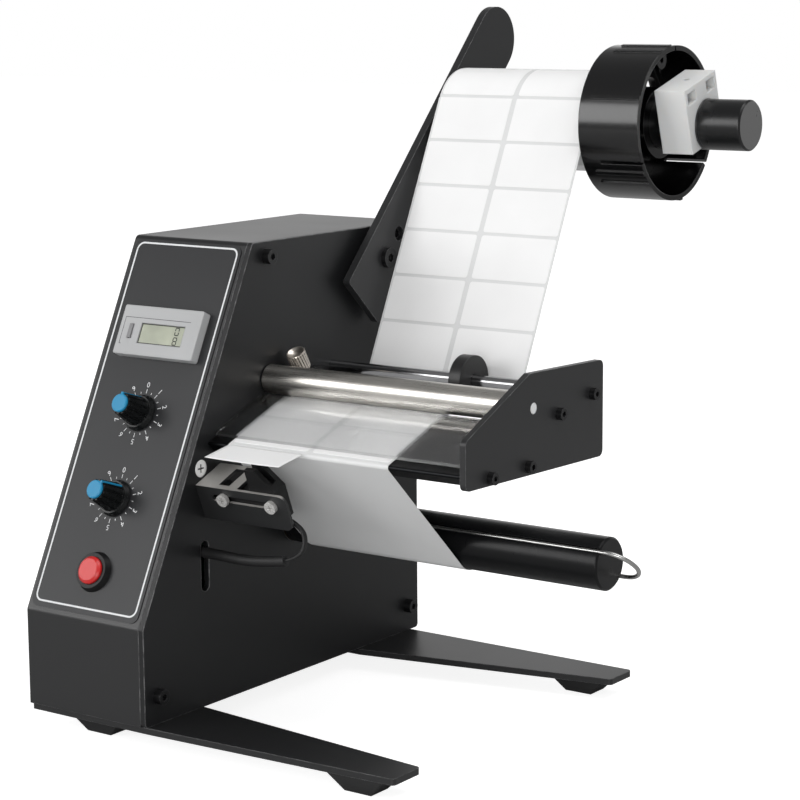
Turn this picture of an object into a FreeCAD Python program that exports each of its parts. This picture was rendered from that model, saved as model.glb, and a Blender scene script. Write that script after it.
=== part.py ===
import FreeCAD, Part
import math
import os
import re

import Sketcher

# Desk label dispenser: a slanted steel case with a control panel, two long feet, a label spool
# on a leaning arm, a driven roller unit with a peeling edge, and a rewind shaft for the liner.
#
# Bench frame, used by most formulas below: X runs to the right along the rollers from the case's
# left side, Y runs back from the case's front face, Z runs up from the floor.  The finished nodes
# are moved so that the origin lies on the floor under the centre of the front left foot.

SIZES = {
    # Case: folded cover, closed by a flat side plate
    "case_width": 68.0,
    "case_depth": 211.0,
    "case_top": 221.5,
    "bend_height": 56.0,
    "slope_angle": 63.8,
    "cover_wall": 1.5,
    "bend_radius": 3.0,
    "side_plate_thickness": 3.0,
    "side_corner": 2.0,
    "tab_reach": 14.0,
    "tab_width": 12.0,
    "base_flange": 12.0,
    "sheet_clearance": 0.2,
    # Feet
    "foot_height": 8.0,
    "bar_thickness": 3.0,
    "bar_left": 1.0,
    "bar_length": 202.0,
    "bar_shoulder_reach": 4.0,
    "bar_tip_width": 19.5,
    "front_bar_inner": 26.0,
    "front_bar_inner_flare": 14.4,
    "front_bar_outer_flare": 5.4,
    "rear_bar_inset": 27.2,
    "rear_bar_inner_flare": 24.6,
    "rear_bar_outer_flare": 1.2,
    "foot_top_length": 30.0,
    "foot_top_width": 18.0,
    "foot_base_length": 14.0,
    "foot_base_width": 12.0,
    "left_foot_inset": 33.0,
    "right_foot_inset": 21.0,
    "foot_from_inner": 10.5,
    # Fasteners
    "thread_clearance": 0.05,
    "cap_head_radius": 3.5,
    "cap_head_height": 4.0,
    "cap_key_radius": 1.7,
    "cap_shank_radius": 2.0,
    "cap_shank_length": 10.0,
    "small_head_radius": 2.75,
    "small_head_height": 3.0,
    "small_key_radius": 1.45,
    "small_shank_radius": 1.5,
    "small_shank_length": 11.0,
    "low_head_radius": 5.0,
    "low_head_height": 2.5,
    "low_key_radius": 2.3,
    "low_shank_radius": 2.5,
    "arm_shank_length": 20.0,
    "nut_radius": 4.0,
    "nut_height": 3.0,
    "sunk_head_radius": 4.0,
    "sunk_head_depth": 2.0,
    "sunk_shank_length": 10.0,
    "key_depth": 1.8,
    # Case screws, from the case's edges
    "case_screw_inset": 9.0,
    "case_screw_rise": 13.0,
    "case_screw_drop": 7.0,
    "case_screw_slope_inset": 10.0,
    "bar_screw_first": 12.0,
    "bar_screw_inset": 10.0,
    "bar_screw_from_inner": 12.0,
    # Control panel, measured up the slope from the front bend
    "panel_margin_side": 1.6,
    "panel_margin_end": 2.2,
    "panel_corner": 4.0,
    "overlay_thickness": 0.4,
    "counter_left": 11.0,
    "counter_rise": 124.3,
    "counter_width": 48.0,
    "counter_height": 24.0,
    "counter_proud": 5.0,
    "counter_body_inset": 1.25,
    "counter_body_depth": 30.0,
    "counter_corner": 1.0,
    "window_left": 12.7,
    "window_rise": 5.9,
    "window_width": 26.5,
    "window_height": 9.9,
    "window_depth": 1.6,
    "window_glass": 1.0,
    "reset_left": 6.2,
    "reset_rise": 8.0,
    "reset_width": 2.0,
    "reset_height": 6.8,
    "reset_proud": 0.7,
    "reset_depth": 2.6,
    "reset_travel": 1.0,
    "button_clearance": 0.12,
    "panel_centre": 34.2,
    "length_knob_rise": 98.2,
    "speed_knob_rise": 57.0,
    "button_rise": 22.1,
    # Knobs and potentiometers
    "knob_gap": 0.9,
    "knob_skirt_radius": 8.7,
    "knob_skirt_height": 2.4,
    "knob_foot_radius": 6.9,
    "knob_head_radius": 5.1,
    "knob_height": 14.0,
    "knob_flute_radius": 0.7,
    "knob_nut_recess": 6.0,
    "knob_cap_radius": 4.3,
    "knob_cap_height": 1.4,
    "knob_cap_edge": 0.4,
    "pointer_width": 1.2,
    "pointer_depth": 1.1,
    "pointer_proud": 0.25,
    "length_knob_turn": 0.0,
    "speed_knob_turn": -36.0,
    "pot_shaft_radius": 3.0,
    "pot_shaft_length": 18.0,
    "pot_shaft_depth": 7.0,
    "pot_bush_radius": 4.5,
    "pot_body_radius": 8.0,
    "pot_body_depth": 12.0,
    "pot_nut_radius": 5.8,
    "pot_nut_height": 1.8,
    "running_clearance": 0.06,
    # Power button
    "switch_flange_radius": 9.5,
    "switch_flange_height": 3.0,
    "switch_barrel_radius": 7.9,
    "switch_barrel_depth": 24.0,
    "button_radius": 6.4,
    "button_proud": 5.2,
    "button_depth": 4.0,
    "button_travel": 2.0,
    "button_edge": 1.2,
    # Side plate features
    "lead_slot_y": 43.3,
    "lead_slot_low": 68.0,
    "lead_slot_high": 86.0,
    "lead_slot_width": 5.6,
    "sunk_screw_y": 41.8,
    "sunk_screw_z": 122.6,
    # Roller unit, between the side plate and the outboard plate
    "clear_width": 143.0,
    "outboard_thickness": 3.0,
    "outboard_corner": 3.0,
    "outboard_front": 40.0,
    "outboard_rear": 150.8,
    "outboard_front_low": 129.0,
    "outboard_front_high": 150.3,
    "outboard_slant_run": 49.5,
    "outboard_top_front": 172.6,
    "outboard_top_rear": 170.9,
    "outboard_rear_low": 126.7,
    "press_y": 92.5,
    "press_z": 157.0,
    "press_radius": 6.85,
    "press_end_gap": 0.6,
    "roller_pin_radius": 2.5,
    "roller_pin_reach": 12.0,
    "nip_gap": 1.3,
    "drive_radius": 7.0,
    "drive_shaft_radius": 4.0,
    "drive_journal_radius": 3.0,
    "drive_end_gap": 3.0,
    "drive_bush_radius": 7.5,
    "outboard_bush_radius": 4.6,
    "outboard_bush_depth": 2.0,
    "guide_rod_y": 141.0,
    "guide_rod_z": 156.6,
    "guide_rod_radius": 3.0,
    "tie_rod_y": 113.0,
    "tie_rod_z": 151.6,
    "tie_rod_radius": 4.0,
    "disc_offset": 76.0,
    "disc_width": 6.5,
    "disc_radius": 12.0,
    "collar_offset": 4.0,
    "collar_width": 6.0,
    "collar_radius": 7.0,
    "collar_lip_width": 1.3,
    "collar_lip_radius": 9.5,
    "thumb_lean": 30.0,
    "thumb_stem_radius": 1.5,
    "thumb_head_start": 10.5,
    "thumb_head_radius": 4.6,
    "thumb_head_height": 9.2,
    "thumb_dish": 1.6,
    # Peel table and clear cover
    "nose_y": 46.3,
    "nose_z": 133.6,
    "nose_radius": 1.0,
    "table_slope": 20.0,
    "table_rear": 82.6,
    "table_crest_radius": 1.0,
    "table_foot_front": 51.5,
    "table_foot_low": 129.0,
    "table_foot_high": 134.6,
    "table_foot_rear": 97.0,
    "front_table_screw_y": 58.4,
    "rear_table_screw_y": 88.1,
    "table_screw_z": 132.0,
    "cover_start": 5.6,
    "cover_length": 38.0,
    "cover_gap": 1.0,
    "cover_thickness": 1.6,
    # Label web and roll
    "web_offset": 12.0,
    "web_width": 89.0,
    "web_thickness": 0.25,
    "web_gap": 0.3,
    "roll_radius": 24.2,
    "roll_core_radius": 12.4,
    "label_width": 42.5,
    "label_length": 21.0,
    "label_droop": 12.0,
    "wrap_end_angle": 498.0,
    # Spool arm
    "arm_gap": 4.0,
    "arm_thickness": 4.0,
    "arm_width": 33.0,
    "arm_foot_inset": 54.7,
    "arm_foot_z": 186.0,
    "arm_lean": 46.7,
    "arm_reach": 170.5,
    "arm_foot_corner": 1.5,
    "arm_low_screw": 28.0,
    "arm_high_screw": 43.0,
    "arm_sight_radius": 3.6,
    "arm_spacer_radius": 6.5,
    "spool_along": 118.4,
    "spool_radius": 12.0,
    "spool_length": 165.4,
    "spool_groove_gap": 0.3,
    "spool_groove_width": 1.2,
    "spool_groove_depth": 0.3,
    "shaft_chamfer": 0.8,
    # Core holder and lock block
    "holder_start": 93.5,
    "holder_width": 32.0,
    "holder_radius": 36.7,
    "holder_wall": 2.4,
    "holder_disc_offset": 3.0,
    "holder_disc_thickness": 3.0,
    "holder_hub_radius": 17.0,
    "holder_hub_width": 24.0,
    "holder_slot_width": 1.8,
    "holder_slot_depth": 22.0,
    "holder_rib_width": 2.2,
    "holder_rib_height": 0.9,
    "holder_boss_radius": 4.6,
    "holder_boss_at": 30.2,
    "holder_boss_width": 23.0,
    "holder_pilot_radius": 1.5,
    "block_gap": 0.8,
    "block_width": 16.0,
    "block_front": 17.0,
    "block_back": 13.8,
    "block_below": 9.0,
    "block_above": 22.0,
    "block_angle": 17.0,
    "block_pocket_depth": 9.0,
    "block_pocket_width": 8.0,
    "block_pocket_height": 5.5,
    "block_pocket_rim": 2.2,
    "block_hole_radius": 1.6,
    # Rewind shaft
    "rewind_y": 112.0,
    "rewind_z": 87.6,
    "rewind_radius": 12.0,
    "rewind_length": 173.4,
    "rewind_plate_gap": 1.0,
    "rewind_journal_radius": 6.0,
    "cartridge_radius": 12.0,
    "cartridge_depth": 16.0,
    "cartridge_flange_radius": 17.0,
    "cartridge_flange_width": 3.0,
    "clip_wire_radius": 1.0,
    "clip_sink": 1.1,
    "clip_groove_width": 2.3,
    "clip_start": 29.0,
    "clip_loop_gap": 2.6,
    "clip_angle": 140.0,
    # Sensor
    "sensor_y": 37.7,
    "sensor_z": 115.7,
    "sensor_tilt": 22.0,
    "sensor_sheet": 1.5,
    "sensor_bracket_length": 51.0,
    "sensor_front_drop": 17.7,
    "sensor_top_reach": 19.5,
    "sensor_top_length": 23.0,
    "sensor_corner": 4.0,
    "sensor_slot_width": 3.3,
    "sensor_slot_left_reach": 7.0,
    "sensor_slot_right_reach": 1.7,
    "sensor_top_slot_width": 6.0,
    "sensor_tab_screw_back": 9.0,
    "sensor_tab_low_screw": 12.5,
    "sensor_screw_drop": 5.5,
    "sensor_left_screw": 15.0,
    "sensor_right_screw": 42.5,
    "sensor_body_start": 10.0,
    "sensor_body_end": 45.0,
    "sensor_body_depth": 8.0,
    "sensor_body_drop": 13.0,
    "sensor_fork_start": 30.5,
    "sensor_fork_top": 36.0,
    "sensor_fork_rise": 11.0,
    "sensor_fork_gap": 3.0,
    "sensor_fork_cut": 7.5,
    "pan_head_radius": 3.0,
    "pan_head_height": 2.0,
    "sleeve_radius": 2.5,
    "sleeve_bore": 2.0,
    "wire_radius": 0.7,
    "wire_spread": 1.5,
    # Drive train inside the case
    "inner_shaft_depth": 26.0,
    "timing_inset": 13.5,
    "timing_width": 6.0,
    "timing_thickness": 1.5,
    "timing_drive_radius": 10.0,
    "timing_motor_radius": 8.0,
    "pulley_flange": 2.0,
    "pulley_flange_width": 1.0,
    "belt_gap": 0.3,
    "rewind_belt_inset": 22.2,
    "rewind_belt_width": 2.4,
    "rewind_belt_thickness": 2.4,
    "rewind_drive_radius": 6.0,
    "rewind_pulley_radius": 14.0,
    "motor_y": 152.0,
    "motor_z": 113.0,
    "gearbox_radius": 18.5,
    "gearbox_length": 24.0,
    "motor_radius": 17.0,
    "motor_back_gap": 2.5,
    "motor_shaft_radius": 3.0,
    "motor_boss_radius": 6.0,
    "bracket_depth": 22.0,
    "bracket_sheet": 2.0,
    "bracket_half_width": 21.0,
    "bracket_half_height": 22.0,
    "bracket_tab_drop": 16.0,
    "bracket_screw_spacing": 24.0,
    # Electronics
    "board_gap": 6.5,
    "board_thickness": 1.6,
    "board_front": 40.0,
    "board_rear_gap": 11.0,
    "board_low": 25.0,
    "board_height": 62.0,
    "spacer_radius": 3.0,
    "spacer_inset": 5.0,
    "transformer_rear_gap": 21.0,
    "transformer_length": 40.0,
    "transformer_low": 31.0,
    "transformer_height": 34.0,
    "transformer_depth": 30.0,
    "transformer_coil_margin": 7.0,
    "capacitor_radius": 5.0,
    "capacitor_height": 16.0,
    "capacitor_spacing": 14.0,
    "chip_gap": 3.0,
    "chip_length": 20.0,
    "chip_width": 8.0,
    "chip_height": 3.0,
    "inlet_z": 47.0,
    "inlet_width": 28.0,
    "inlet_height": 20.0,
    "inlet_depth": 20.0,
    "inlet_flange": 3.0,
    "inlet_flange_thickness": 2.0,
    "inlet_wall": 2.0,
    "inlet_socket_depth": 16.0,
    "inlet_pin_width": 2.0,
    "inlet_pin_height": 4.0,
    "inlet_pin_length": 12.0,
    "inlet_pin_spacing": 7.0,
}

FLUTES = 12
HOLDER_SECTORS = 3
HOLDER_RIB_ANGLES = (100.0, 112.0, 159.0, 217.0, 228.0, 280.0, 345.0)
HOLDER_SLOT_ANGLES = (92.0, 208.0, 325.0)
MAX_NODES = 60

# The two flexible leads, as routes in the bench frame with X from the side plate's face
SLEEVE_ROUTE = ((-11.0, 43.3, 83.6), (9.0, 43.3, 83.2), (27.0, 43.3, 81.9), (41.0, 43.5, 82.5))
WIRE_ROUTE = ((36.0, 43.45, 82.3), (46.5, 43.9, 82.8), (52.5, 46.2, 90.0), (50.5, 48.2, 98.2),
              (43.2, 48.6, 104.0))

# Places built from the sizes
SIDE_INNER = "case_width"
SIDE_FACE = "(case_width + side_plate_thickness)"
OUTBOARD_INNER = "(case_width + side_plate_thickness + clear_width)"
OUTBOARD_FACE = "(case_width + side_plate_thickness + clear_width + outboard_thickness)"
CASE_BASE = "(foot_height + bar_thickness)"
SLOPE = "(slope_angle * 1 deg)"
SLOPE_RUN = "((case_top - bend_height) / tan(slope_angle * 1 deg))"
SLOPE_LENGTH = "((case_top - bend_height) / sin(slope_angle * 1 deg))"
PANEL_SKIN = "(overlay_thickness)"
FOOT_LEFT = "(bar_left + left_foot_inset)"
FOOT_RIGHT = "(bar_left + bar_length - right_foot_inset)"
FOOT_FRONT = "(front_bar_inner - foot_from_inner)"
REAR_BAR_INNER = "(case_depth - rear_bar_inset)"
FOOT_REAR = "(case_depth - rear_bar_inset + foot_from_inner)"
ORIGIN_X = FOOT_LEFT
ORIGIN_Y = FOOT_FRONT
DRIVE_Z = "(press_z - press_radius - nip_gap - drive_radius)"
ARM_INNER = "(case_width + side_plate_thickness + arm_gap)"
ARM_FACE = "(case_width + side_plate_thickness + arm_gap + arm_thickness)"
ARM_FOOT_Y = "(case_depth - arm_foot_inset)"
SPOOL_Y = "(case_depth - arm_foot_inset + spool_along * cos(arm_lean * 1 deg))"
SPOOL_Z = "(arm_foot_z + spool_along * sin(arm_lean * 1 deg))"
HOLDER_END = "(holder_start + holder_width)"
CLIP_PITCH = "(rewind_radius - clip_sink)"
KNOB_LEAN = "(atan((knob_foot_radius - knob_head_radius) / (knob_height - knob_skirt_height)) / (1 deg))"
SHAFT_INNER_END = "(case_width - inner_shaft_depth)"
CARTRIDGE_START = "(case_width - cartridge_depth)"
TIMING_START = "(case_width - timing_inset)"
REWIND_BELT_START = "(case_width - rewind_belt_inset)"
BRACKET_FACE = "(case_width - bracket_depth)"
MOTOR_LENGTH = "(case_width - bracket_depth - gearbox_length - cover_wall - motor_back_gap)"
BOARD_LENGTH = "(case_depth - board_rear_gap - board_front)"
TRANSFORMER_FRONT = "(case_depth - transformer_rear_gap - transformer_length)"
CASE_SCREWS = (
    ("case_screw_inset", CASE_BASE + " + case_screw_rise"),
    ("case_depth - case_screw_inset", CASE_BASE + " + case_screw_rise"),
    (SLOPE_RUN + " + case_screw_slope_inset", "case_top - case_screw_drop"),
    ("case_depth - case_screw_inset", "case_top - case_screw_drop"),
)
FRAME_SCREWS = (
    ("front_table_screw_y", "table_screw_z"),
    ("rear_table_screw_y", "table_screw_z"),
    ("tie_rod_y", "tie_rod_z"),
    ("guide_rod_y", "guide_rod_z"),
)
BRACKET_SCREWS = (
    ("motor_y - bracket_screw_spacing / 2", "motor_z - bracket_half_height - bracket_tab_drop / 2"),
    ("motor_y + bracket_screw_spacing / 2", "motor_z - bracket_half_height - bracket_tab_drop / 2"),
)
SUNK_SCREWS = (("sunk_screw_y", "sunk_screw_z"),) + BRACKET_SCREWS
TAB_SCREWS = tuple(
    ("sensor_y + sensor_tab_screw_back * cos(sensor_tilt * 1 deg) + %s * sin(sensor_tilt * 1 deg)" % drop,
     "sensor_z + sensor_tab_screw_back * sin(sensor_tilt * 1 deg) - %s * cos(sensor_tilt * 1 deg)" % drop)
    for drop in ("sensor_screw_drop", "sensor_tab_low_screw"))

X_AXIS = FreeCAD.Vector(1, 0, 0)
Y_AXIS = FreeCAD.Vector(0, 1, 0)
Z_AXIS = FreeCAD.Vector(0, 0, 1)
TURNS = {
    "x": FreeCAD.Rotation(Y_AXIS, 90),
    "-x": FreeCAD.Rotation(Y_AXIS, -90),
    "y": FreeCAD.Rotation(X_AXIS, -90),
    "-y": FreeCAD.Rotation(X_AXIS, 90),
    "z": FreeCAD.Rotation(),
    "-z": FreeCAD.Rotation(X_AXIS, 180),
}

doc = FreeCAD.newDocument("LabelDispenser")
sheet = doc.addObject("Spreadsheet::Sheet", "Sizes")
for row, (alias, number) in enumerate(SIZES.items(), start=1):
    sheet.set("A%d" % row, alias)
    sheet.set("B%d" % row, str(number))
    sheet.setAlias("B%d" % row, alias)
doc.recompute()

nodes = {}


# ---------------------------------------------------------------- helpers

def tie(formula):
    """Point every size named in a formula at the sheet."""
    return re.sub(r"[a-z_]+", lambda word: sized(word.group()), str(formula))


def sized(word):
    return "Sizes." + word if word in SIZES else word


def bind(item, prop, formula):
    item.setExpression(prop, tie(formula))


def seat(item, point):
    for letter, formula in zip("xyz", point):
        bind(item, "Placement.Base." + letter, formula)
    return item


def shift(point, axis, amount):
    """The point moved by a formula along one axis, such as x or -x."""
    sign = "-" if axis.startswith("-") else "+"
    index = "xyz".index(axis[-1])
    moved = list(point)
    moved[index] = "%s %s (%s)" % (point[index], sign, amount)
    return tuple(moved)


def box(corner, size):
    item = doc.addObject("Part::Box", "Box")
    for prop, formula in zip(("Length", "Width", "Height"), size):
        bind(item, prop, formula)
    return seat(item, corner)


def bar(start, axis, radius, length):
    item = doc.addObject("Part::Cylinder", "Bar")
    item.Placement.Rotation = TURNS[axis]
    bind(item, "Radius", radius)
    bind(item, "Height", length)
    return seat(item, start)


def taper(start, axis, first, last, length):
    item = doc.addObject("Part::Cone", "Taper")
    item.Placement.Rotation = TURNS[axis]
    bind(item, "Radius1", first)
    bind(item, "Radius2", last)
    bind(item, "Height", length)
    return seat(item, start)


def hexagon(start, axis, radius, length):
    item = doc.addObject("Part::Prism", "Hexagon")
    item.Placement.Rotation = TURNS[axis]
    item.Polygon = 6
    bind(item, "Circumradius", radius)
    bind(item, "Height", length)
    return seat(item, start)


def group(items):
    item = doc.addObject("Part::Compound", "Group")
    item.Links = list(items)
    return item


def fuse(*items):
    item = doc.addObject("Part::MultiFuse", "Fuse")
    item.Shapes = list(items)
    item.Refine = True
    return item


def cut(base, *tools):
    item = doc.addObject("Part::Cut", "Cut")
    item.Base = base
    item.Tool = tools[0] if len(tools) == 1 else group(tools)
    return item


def tube(start, axis, outer, inner, length):
    return cut(bar(start, axis, outer, length), bar(start, axis, inner, length))


def turned(item, axis, formula):
    """The item turned about an axis through its frame's origin."""
    holder = group([item])
    holder.Placement.Rotation = FreeCAD.Rotation(axis, 1)
    bind(holder, "Placement.Rotation.Angle", "(%s) * 1 deg" % formula)
    return holder


def plate(role, outline, offset, thickness, rounds=()):
    """A padded polygon.  rounds holds (radius, corner numbers) pairs."""
    body = doc.addObject("PartDesign::Body", "Plate")
    sketch = body.newObject("Sketcher::SketchObject", "Outline")
    origin_plane = [item for item in body.Origin.OriginFeatures if item.Role == role][0]
    sketch.AttachmentSupport = (origin_plane, [""])
    sketch.MapMode = "FlatFace"
    bind(sketch, "AttachmentOffset.Base.z", offset)
    count = len(outline)
    ring = [FreeCAD.Vector(9 + math.cos(math.tau * k / count), 9 + math.sin(math.tau * k / count), 0)
            for k in range(count)]
    for k in range(count):
        sketch.addGeometry(Part.LineSegment(ring[k], ring[(k + 1) % count]), False)
    for k in range(count):
        sketch.addConstraint(Sketcher.Constraint("Coincident", k, 2, (k + 1) % count, 1))
    for k, corner in enumerate(outline):
        for kind, formula, axis_line in zip(("DistanceX", "DistanceY"), corner, (-2, -1)):
            if formula == "0":
                sketch.addConstraint(Sketcher.Constraint("PointOnObject", k, 1, axis_line))
                continue
            index = sketch.addConstraint(Sketcher.Constraint(kind, -1, 1, k, 1, 9.0))
            bind(sketch, "Constraints[%d]" % index, formula)
    pad = body.newObject("PartDesign::Pad", "Pad")
    pad.Profile = sketch
    bind(pad, "Length", thickness)
    doc.recompute()
    for radius, corners in rounds:
        places = [sketch.Placement.multVec(sketch.Geometry[k].StartPoint) for k in corners]
        along = sketch.Placement.Rotation.multVec(Z_AXIS)
        base = body.Tip
        fillet = body.newObject("PartDesign::Fillet", "Rounds")
        fillet.Base = (base, upright_edges(base.Shape, places, along))
        bind(fillet, "Radius", radius)
        doc.recompute()
    return body


def upright_edges(shape, places, along):
    """Names of the straight edges that run along a direction through given places."""
    names = []
    for index, edge in enumerate(shape.Edges, start=1):
        if len(edge.Vertexes) != 2:
            continue
        start, end = (vertex.Point for vertex in edge.Vertexes)
        span = end - start
        if span.cross(along).Length > 1e-4 * span.Length:
            continue
        if any((start - place).cross(along).Length < 1e-3 for place in places):
            names.append("Edge%d" % index)
    return names


def screw(place, axis, head_radius, head_height, key_radius, shank_radius, shank_length):
    """A socket screw whose head stands on place and whose shank runs the other way."""
    back = axis[1:] if axis.startswith("-") else "-" + axis
    head = bar(place, axis, head_radius, head_height)
    shank = bar(place, back, shank_radius, shank_length)
    top = shift(place, axis, head_height + " - key_depth")
    return cut(fuse(head, shank), hexagon(top, axis, key_radius, "key_depth"))


def cap_screw(place, axis):
    return screw(place, axis, "cap_head_radius", "cap_head_height", "cap_key_radius",
                 "cap_shank_radius", "cap_shank_length")


def small_screw(place, axis):
    return screw(place, axis, "small_head_radius", "small_head_height", "small_key_radius",
                 "small_shank_radius", "small_shank_length")


def cross_recess(place, axis, reach):
    """The cross-shaped recess of a screw head, open towards the axis given."""
    wide = "%s / 3" % reach
    if axis == "x":
        bottom = place[0] + " - key_depth"
        first = box((bottom, "%s - %s" % (place[1], reach), "%s - %s / 2" % (place[2], wide)),
                    ("key_depth", "2 * " + reach, wide))
        second = box((bottom, "%s - %s / 2" % (place[1], wide), "%s - %s" % (place[2], reach)),
                     ("key_depth", wide, "2 * " + reach))
    else:
        first = box(("%s - %s" % (place[0], reach), place[1], "%s - %s / 2" % (place[2], wide)),
                    ("2 * " + reach, "key_depth", wide))
        second = box(("%s - %s / 2" % (place[0], wide), place[1], "%s - %s" % (place[2], reach)),
                     (wide, "key_depth", "2 * " + reach))
    return fuse(first, second)


FRAMES = {
    "bench": ("0", "0", "0", "0"),
    "panel": ("0", "0", "bend_height", "slope_angle"),
    "arm": (ARM_INNER, ARM_FOOT_Y, "arm_foot_z", "arm_lean"),
    "spool": (ARM_FACE, SPOOL_Y, SPOOL_Z, "0"),
    "table": (SIDE_FACE, "nose_y", "nose_z", "table_slope"),
    "rewind": (SIDE_FACE, "rewind_y", "rewind_z", "clip_angle"),
    "sensor": (SIDE_FACE, "sensor_y", "sensor_z", "sensor_tilt"),
}


def deliver(node, item, frame="bench"):
    """Name a finished sub-part and place its frame in the frame of the whole."""
    if item.TypeId in ("Part::Box", "Part::Cylinder"):
        item = group([item])
    base_x, base_y, base_z, tilt = FRAMES[frame]
    item.Label = node
    item.Placement.Rotation = FreeCAD.Rotation(X_AXIS, 1)
    bind(item, "Placement.Rotation.Angle", "(%s) * 1 deg" % tilt)
    seat(item, ("%s - %s" % (base_x, ORIGIN_X), "%s - %s" % (base_y, ORIGIN_Y), base_z))
    nodes[node] = item


def feature(shape):
    """A shape made with Part's own functions, in the bench frame."""
    item = doc.addObject("Part::Feature", "Shape")
    item.Shape = Part.makeCompound([shape])
    return item


# ---------------------------------------------------------------- strips and belts

def tangent_angle(first, second):
    """Direction of the straight run between two circles (y, z, signed radius)."""
    across = second[0] - first[0]
    up = second[1] - first[1]
    return math.atan2(up, across) - math.asin((second[2] - first[2]) / math.hypot(across, up))


def side_point(circle, angle, offset):
    """Where a run of this direction leaves the circle, moved sideways by offset."""
    reach = circle[2] - offset
    return FreeCAD.Vector(0, circle[0] + reach * math.sin(angle), circle[1] - reach * math.cos(angle))


def arc_edge(circle, first, last, offset):
    middle = side_point(circle, (first + last) / 2, offset)
    return Part.Arc(side_point(circle, first, offset), middle, side_point(circle, last, offset)).toShape()


def follow(circles, end_angle, offset):
    """Edges of a path that leaves the first circle, turns on each next one and ends on the last."""
    angles = [tangent_angle(a, b) for a, b in zip(circles, circles[1:])]
    edges = []
    for k, angle in enumerate(angles):
        here, there = circles[k], circles[k + 1]
        edges.append(Part.makeLine(side_point(here, angle, offset), side_point(there, angle, offset)))
        following = end_angle if k + 1 == len(angles) else angles[k + 1]
        full = math.tau
        turn = (following - angle) % full if there[2] > 0 else -((angle - following) % full)
        edges.append(arc_edge(there, angle, angle + turn, offset))
    return edges


def strip(circles, end_angle, thickness, start_x, width):
    """A thin strip of the given thickness along the path, as wide as width."""
    left = follow(circles, end_angle, thickness / 2)
    right = follow(circles, end_angle, -thickness / 2)
    ends = [Part.makeLine(left[0].firstVertex(True).Point, right[0].firstVertex(True).Point),
            Part.makeLine(left[-1].lastVertex(True).Point, right[-1].lastVertex(True).Point)]
    outline = Part.Wire(Part.__sortEdges__(left + right + ends))
    solid = Part.Face(outline).extrude(FreeCAD.Vector(width, 0, 0))
    solid.translate(FreeCAD.Vector(start_x, 0, 0))
    return solid


def loop_face(first, second, offset):
    """The area inside a belt's line around two circles."""
    circles = (first, second)
    out = tangent_angle(first, second)
    back = tangent_angle(second, first)
    edges = []
    for here, there, angle, following in ((first, second, out, back), (second, first, back, out)):
        edges.append(Part.makeLine(side_point(here, angle, -offset), side_point(there, angle, -offset)))
        edges.append(arc_edge(there, angle, angle + (following - angle) % math.tau, -offset))
    assert len(circles) * 2 == len(edges)
    return Part.Face(Part.Wire(Part.__sortEdges__(edges)))


def belt(first, second, thickness, start_x, width):
    ring = loop_face(first, second, thickness).cut(loop_face(first, second, 0))
    solid = ring.extrude(FreeCAD.Vector(width, 0, 0))
    solid.translate(FreeCAD.Vector(start_x, 0, 0))
    return solid


def lead(route, radius):
    """A round lead: straight runs joined by tangent arcs."""
    points = [FreeCAD.Vector(*point) for point in route]
    edges = []
    start = points[0]
    radii = []
    for before, corner, after in zip(points, points[1:], points[2:]):
        incoming = (corner - before).normalize()
        outgoing = (after - corner).normalize()
        turn = incoming.getAngle(outgoing)
        reach = 0.45 * min((corner - before).Length, (after - corner).Length)
        radii.append(reach / math.tan(turn / 2))
        enter = corner - incoming * reach
        leave = corner + outgoing * reach
        inward = (outgoing - incoming).normalize()
        sagitta = radii[-1] / math.cos(turn / 2) - radii[-1]
        edges.append(Part.LineSegment(start, enter).toShape())
        edges.append(Part.Arc(enter, corner + inward * sagitta, leave).toShape())
        start = leave
    edges.append(Part.LineSegment(start, points[-1]).toShape())
    spine = Part.Wire(edges)
    heading = (points[1] - points[0]).normalize()
    section = Part.Wire([Part.Circle(points[0], heading, radius).toShape()])
    solid = spine.makePipeShell([section], True, False)
    print("lead radii", [round(value, 1) for value in radii],
          "volume over section times length", round(solid.Volume / (math.pi * radius ** 2 * spine.Length), 4))
    return solid


# ---------------------------------------------------------------- case and feet

def case_outline():
    return [("0", CASE_BASE), ("0", "bend_height"), (SLOPE_RUN, "case_top"),
            ("case_depth", "case_top"), ("case_depth", CASE_BASE)]


def panel_tools():
    """Everything cut through the sloping panel, in the panel's own frame."""
    gap = "sheet_clearance"
    window = box(("counter_left + counter_body_inset - " + gap, "counter_rise + counter_body_inset - " + gap,
                  "-cover_wall - bend_radius"),
                 ("counter_width - 2 * counter_body_inset + 2 * " + gap,
                  "counter_height - 2 * counter_body_inset + 2 * " + gap,
                  "cover_wall + bend_radius + overlay_thickness"))
    holes = [bar(("panel_centre", rise, "-cover_wall - bend_radius"), "z", radius + " + " + gap,
                 "cover_wall + bend_radius + overlay_thickness")
             for rise, radius in (("length_knob_rise", "pot_bush_radius"),
                                  ("speed_knob_rise", "pot_bush_radius"),
                                  ("button_rise", "switch_barrel_radius"))]
    return [window] + holes


def in_panel_frame(items):
    holder = group(items)
    holder.Placement.Rotation = FreeCAD.Rotation(X_AXIS, 1)
    bind(holder, "Placement.Rotation.Angle", SLOPE)
    return seat(holder, ("0", "0", "bend_height"))


def cover_tab(y_from, z_from, y_size, z_size):
    return box((SIDE_INNER + " - cover_wall", y_from, z_from), ("cover_wall", y_size, z_size))


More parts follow.
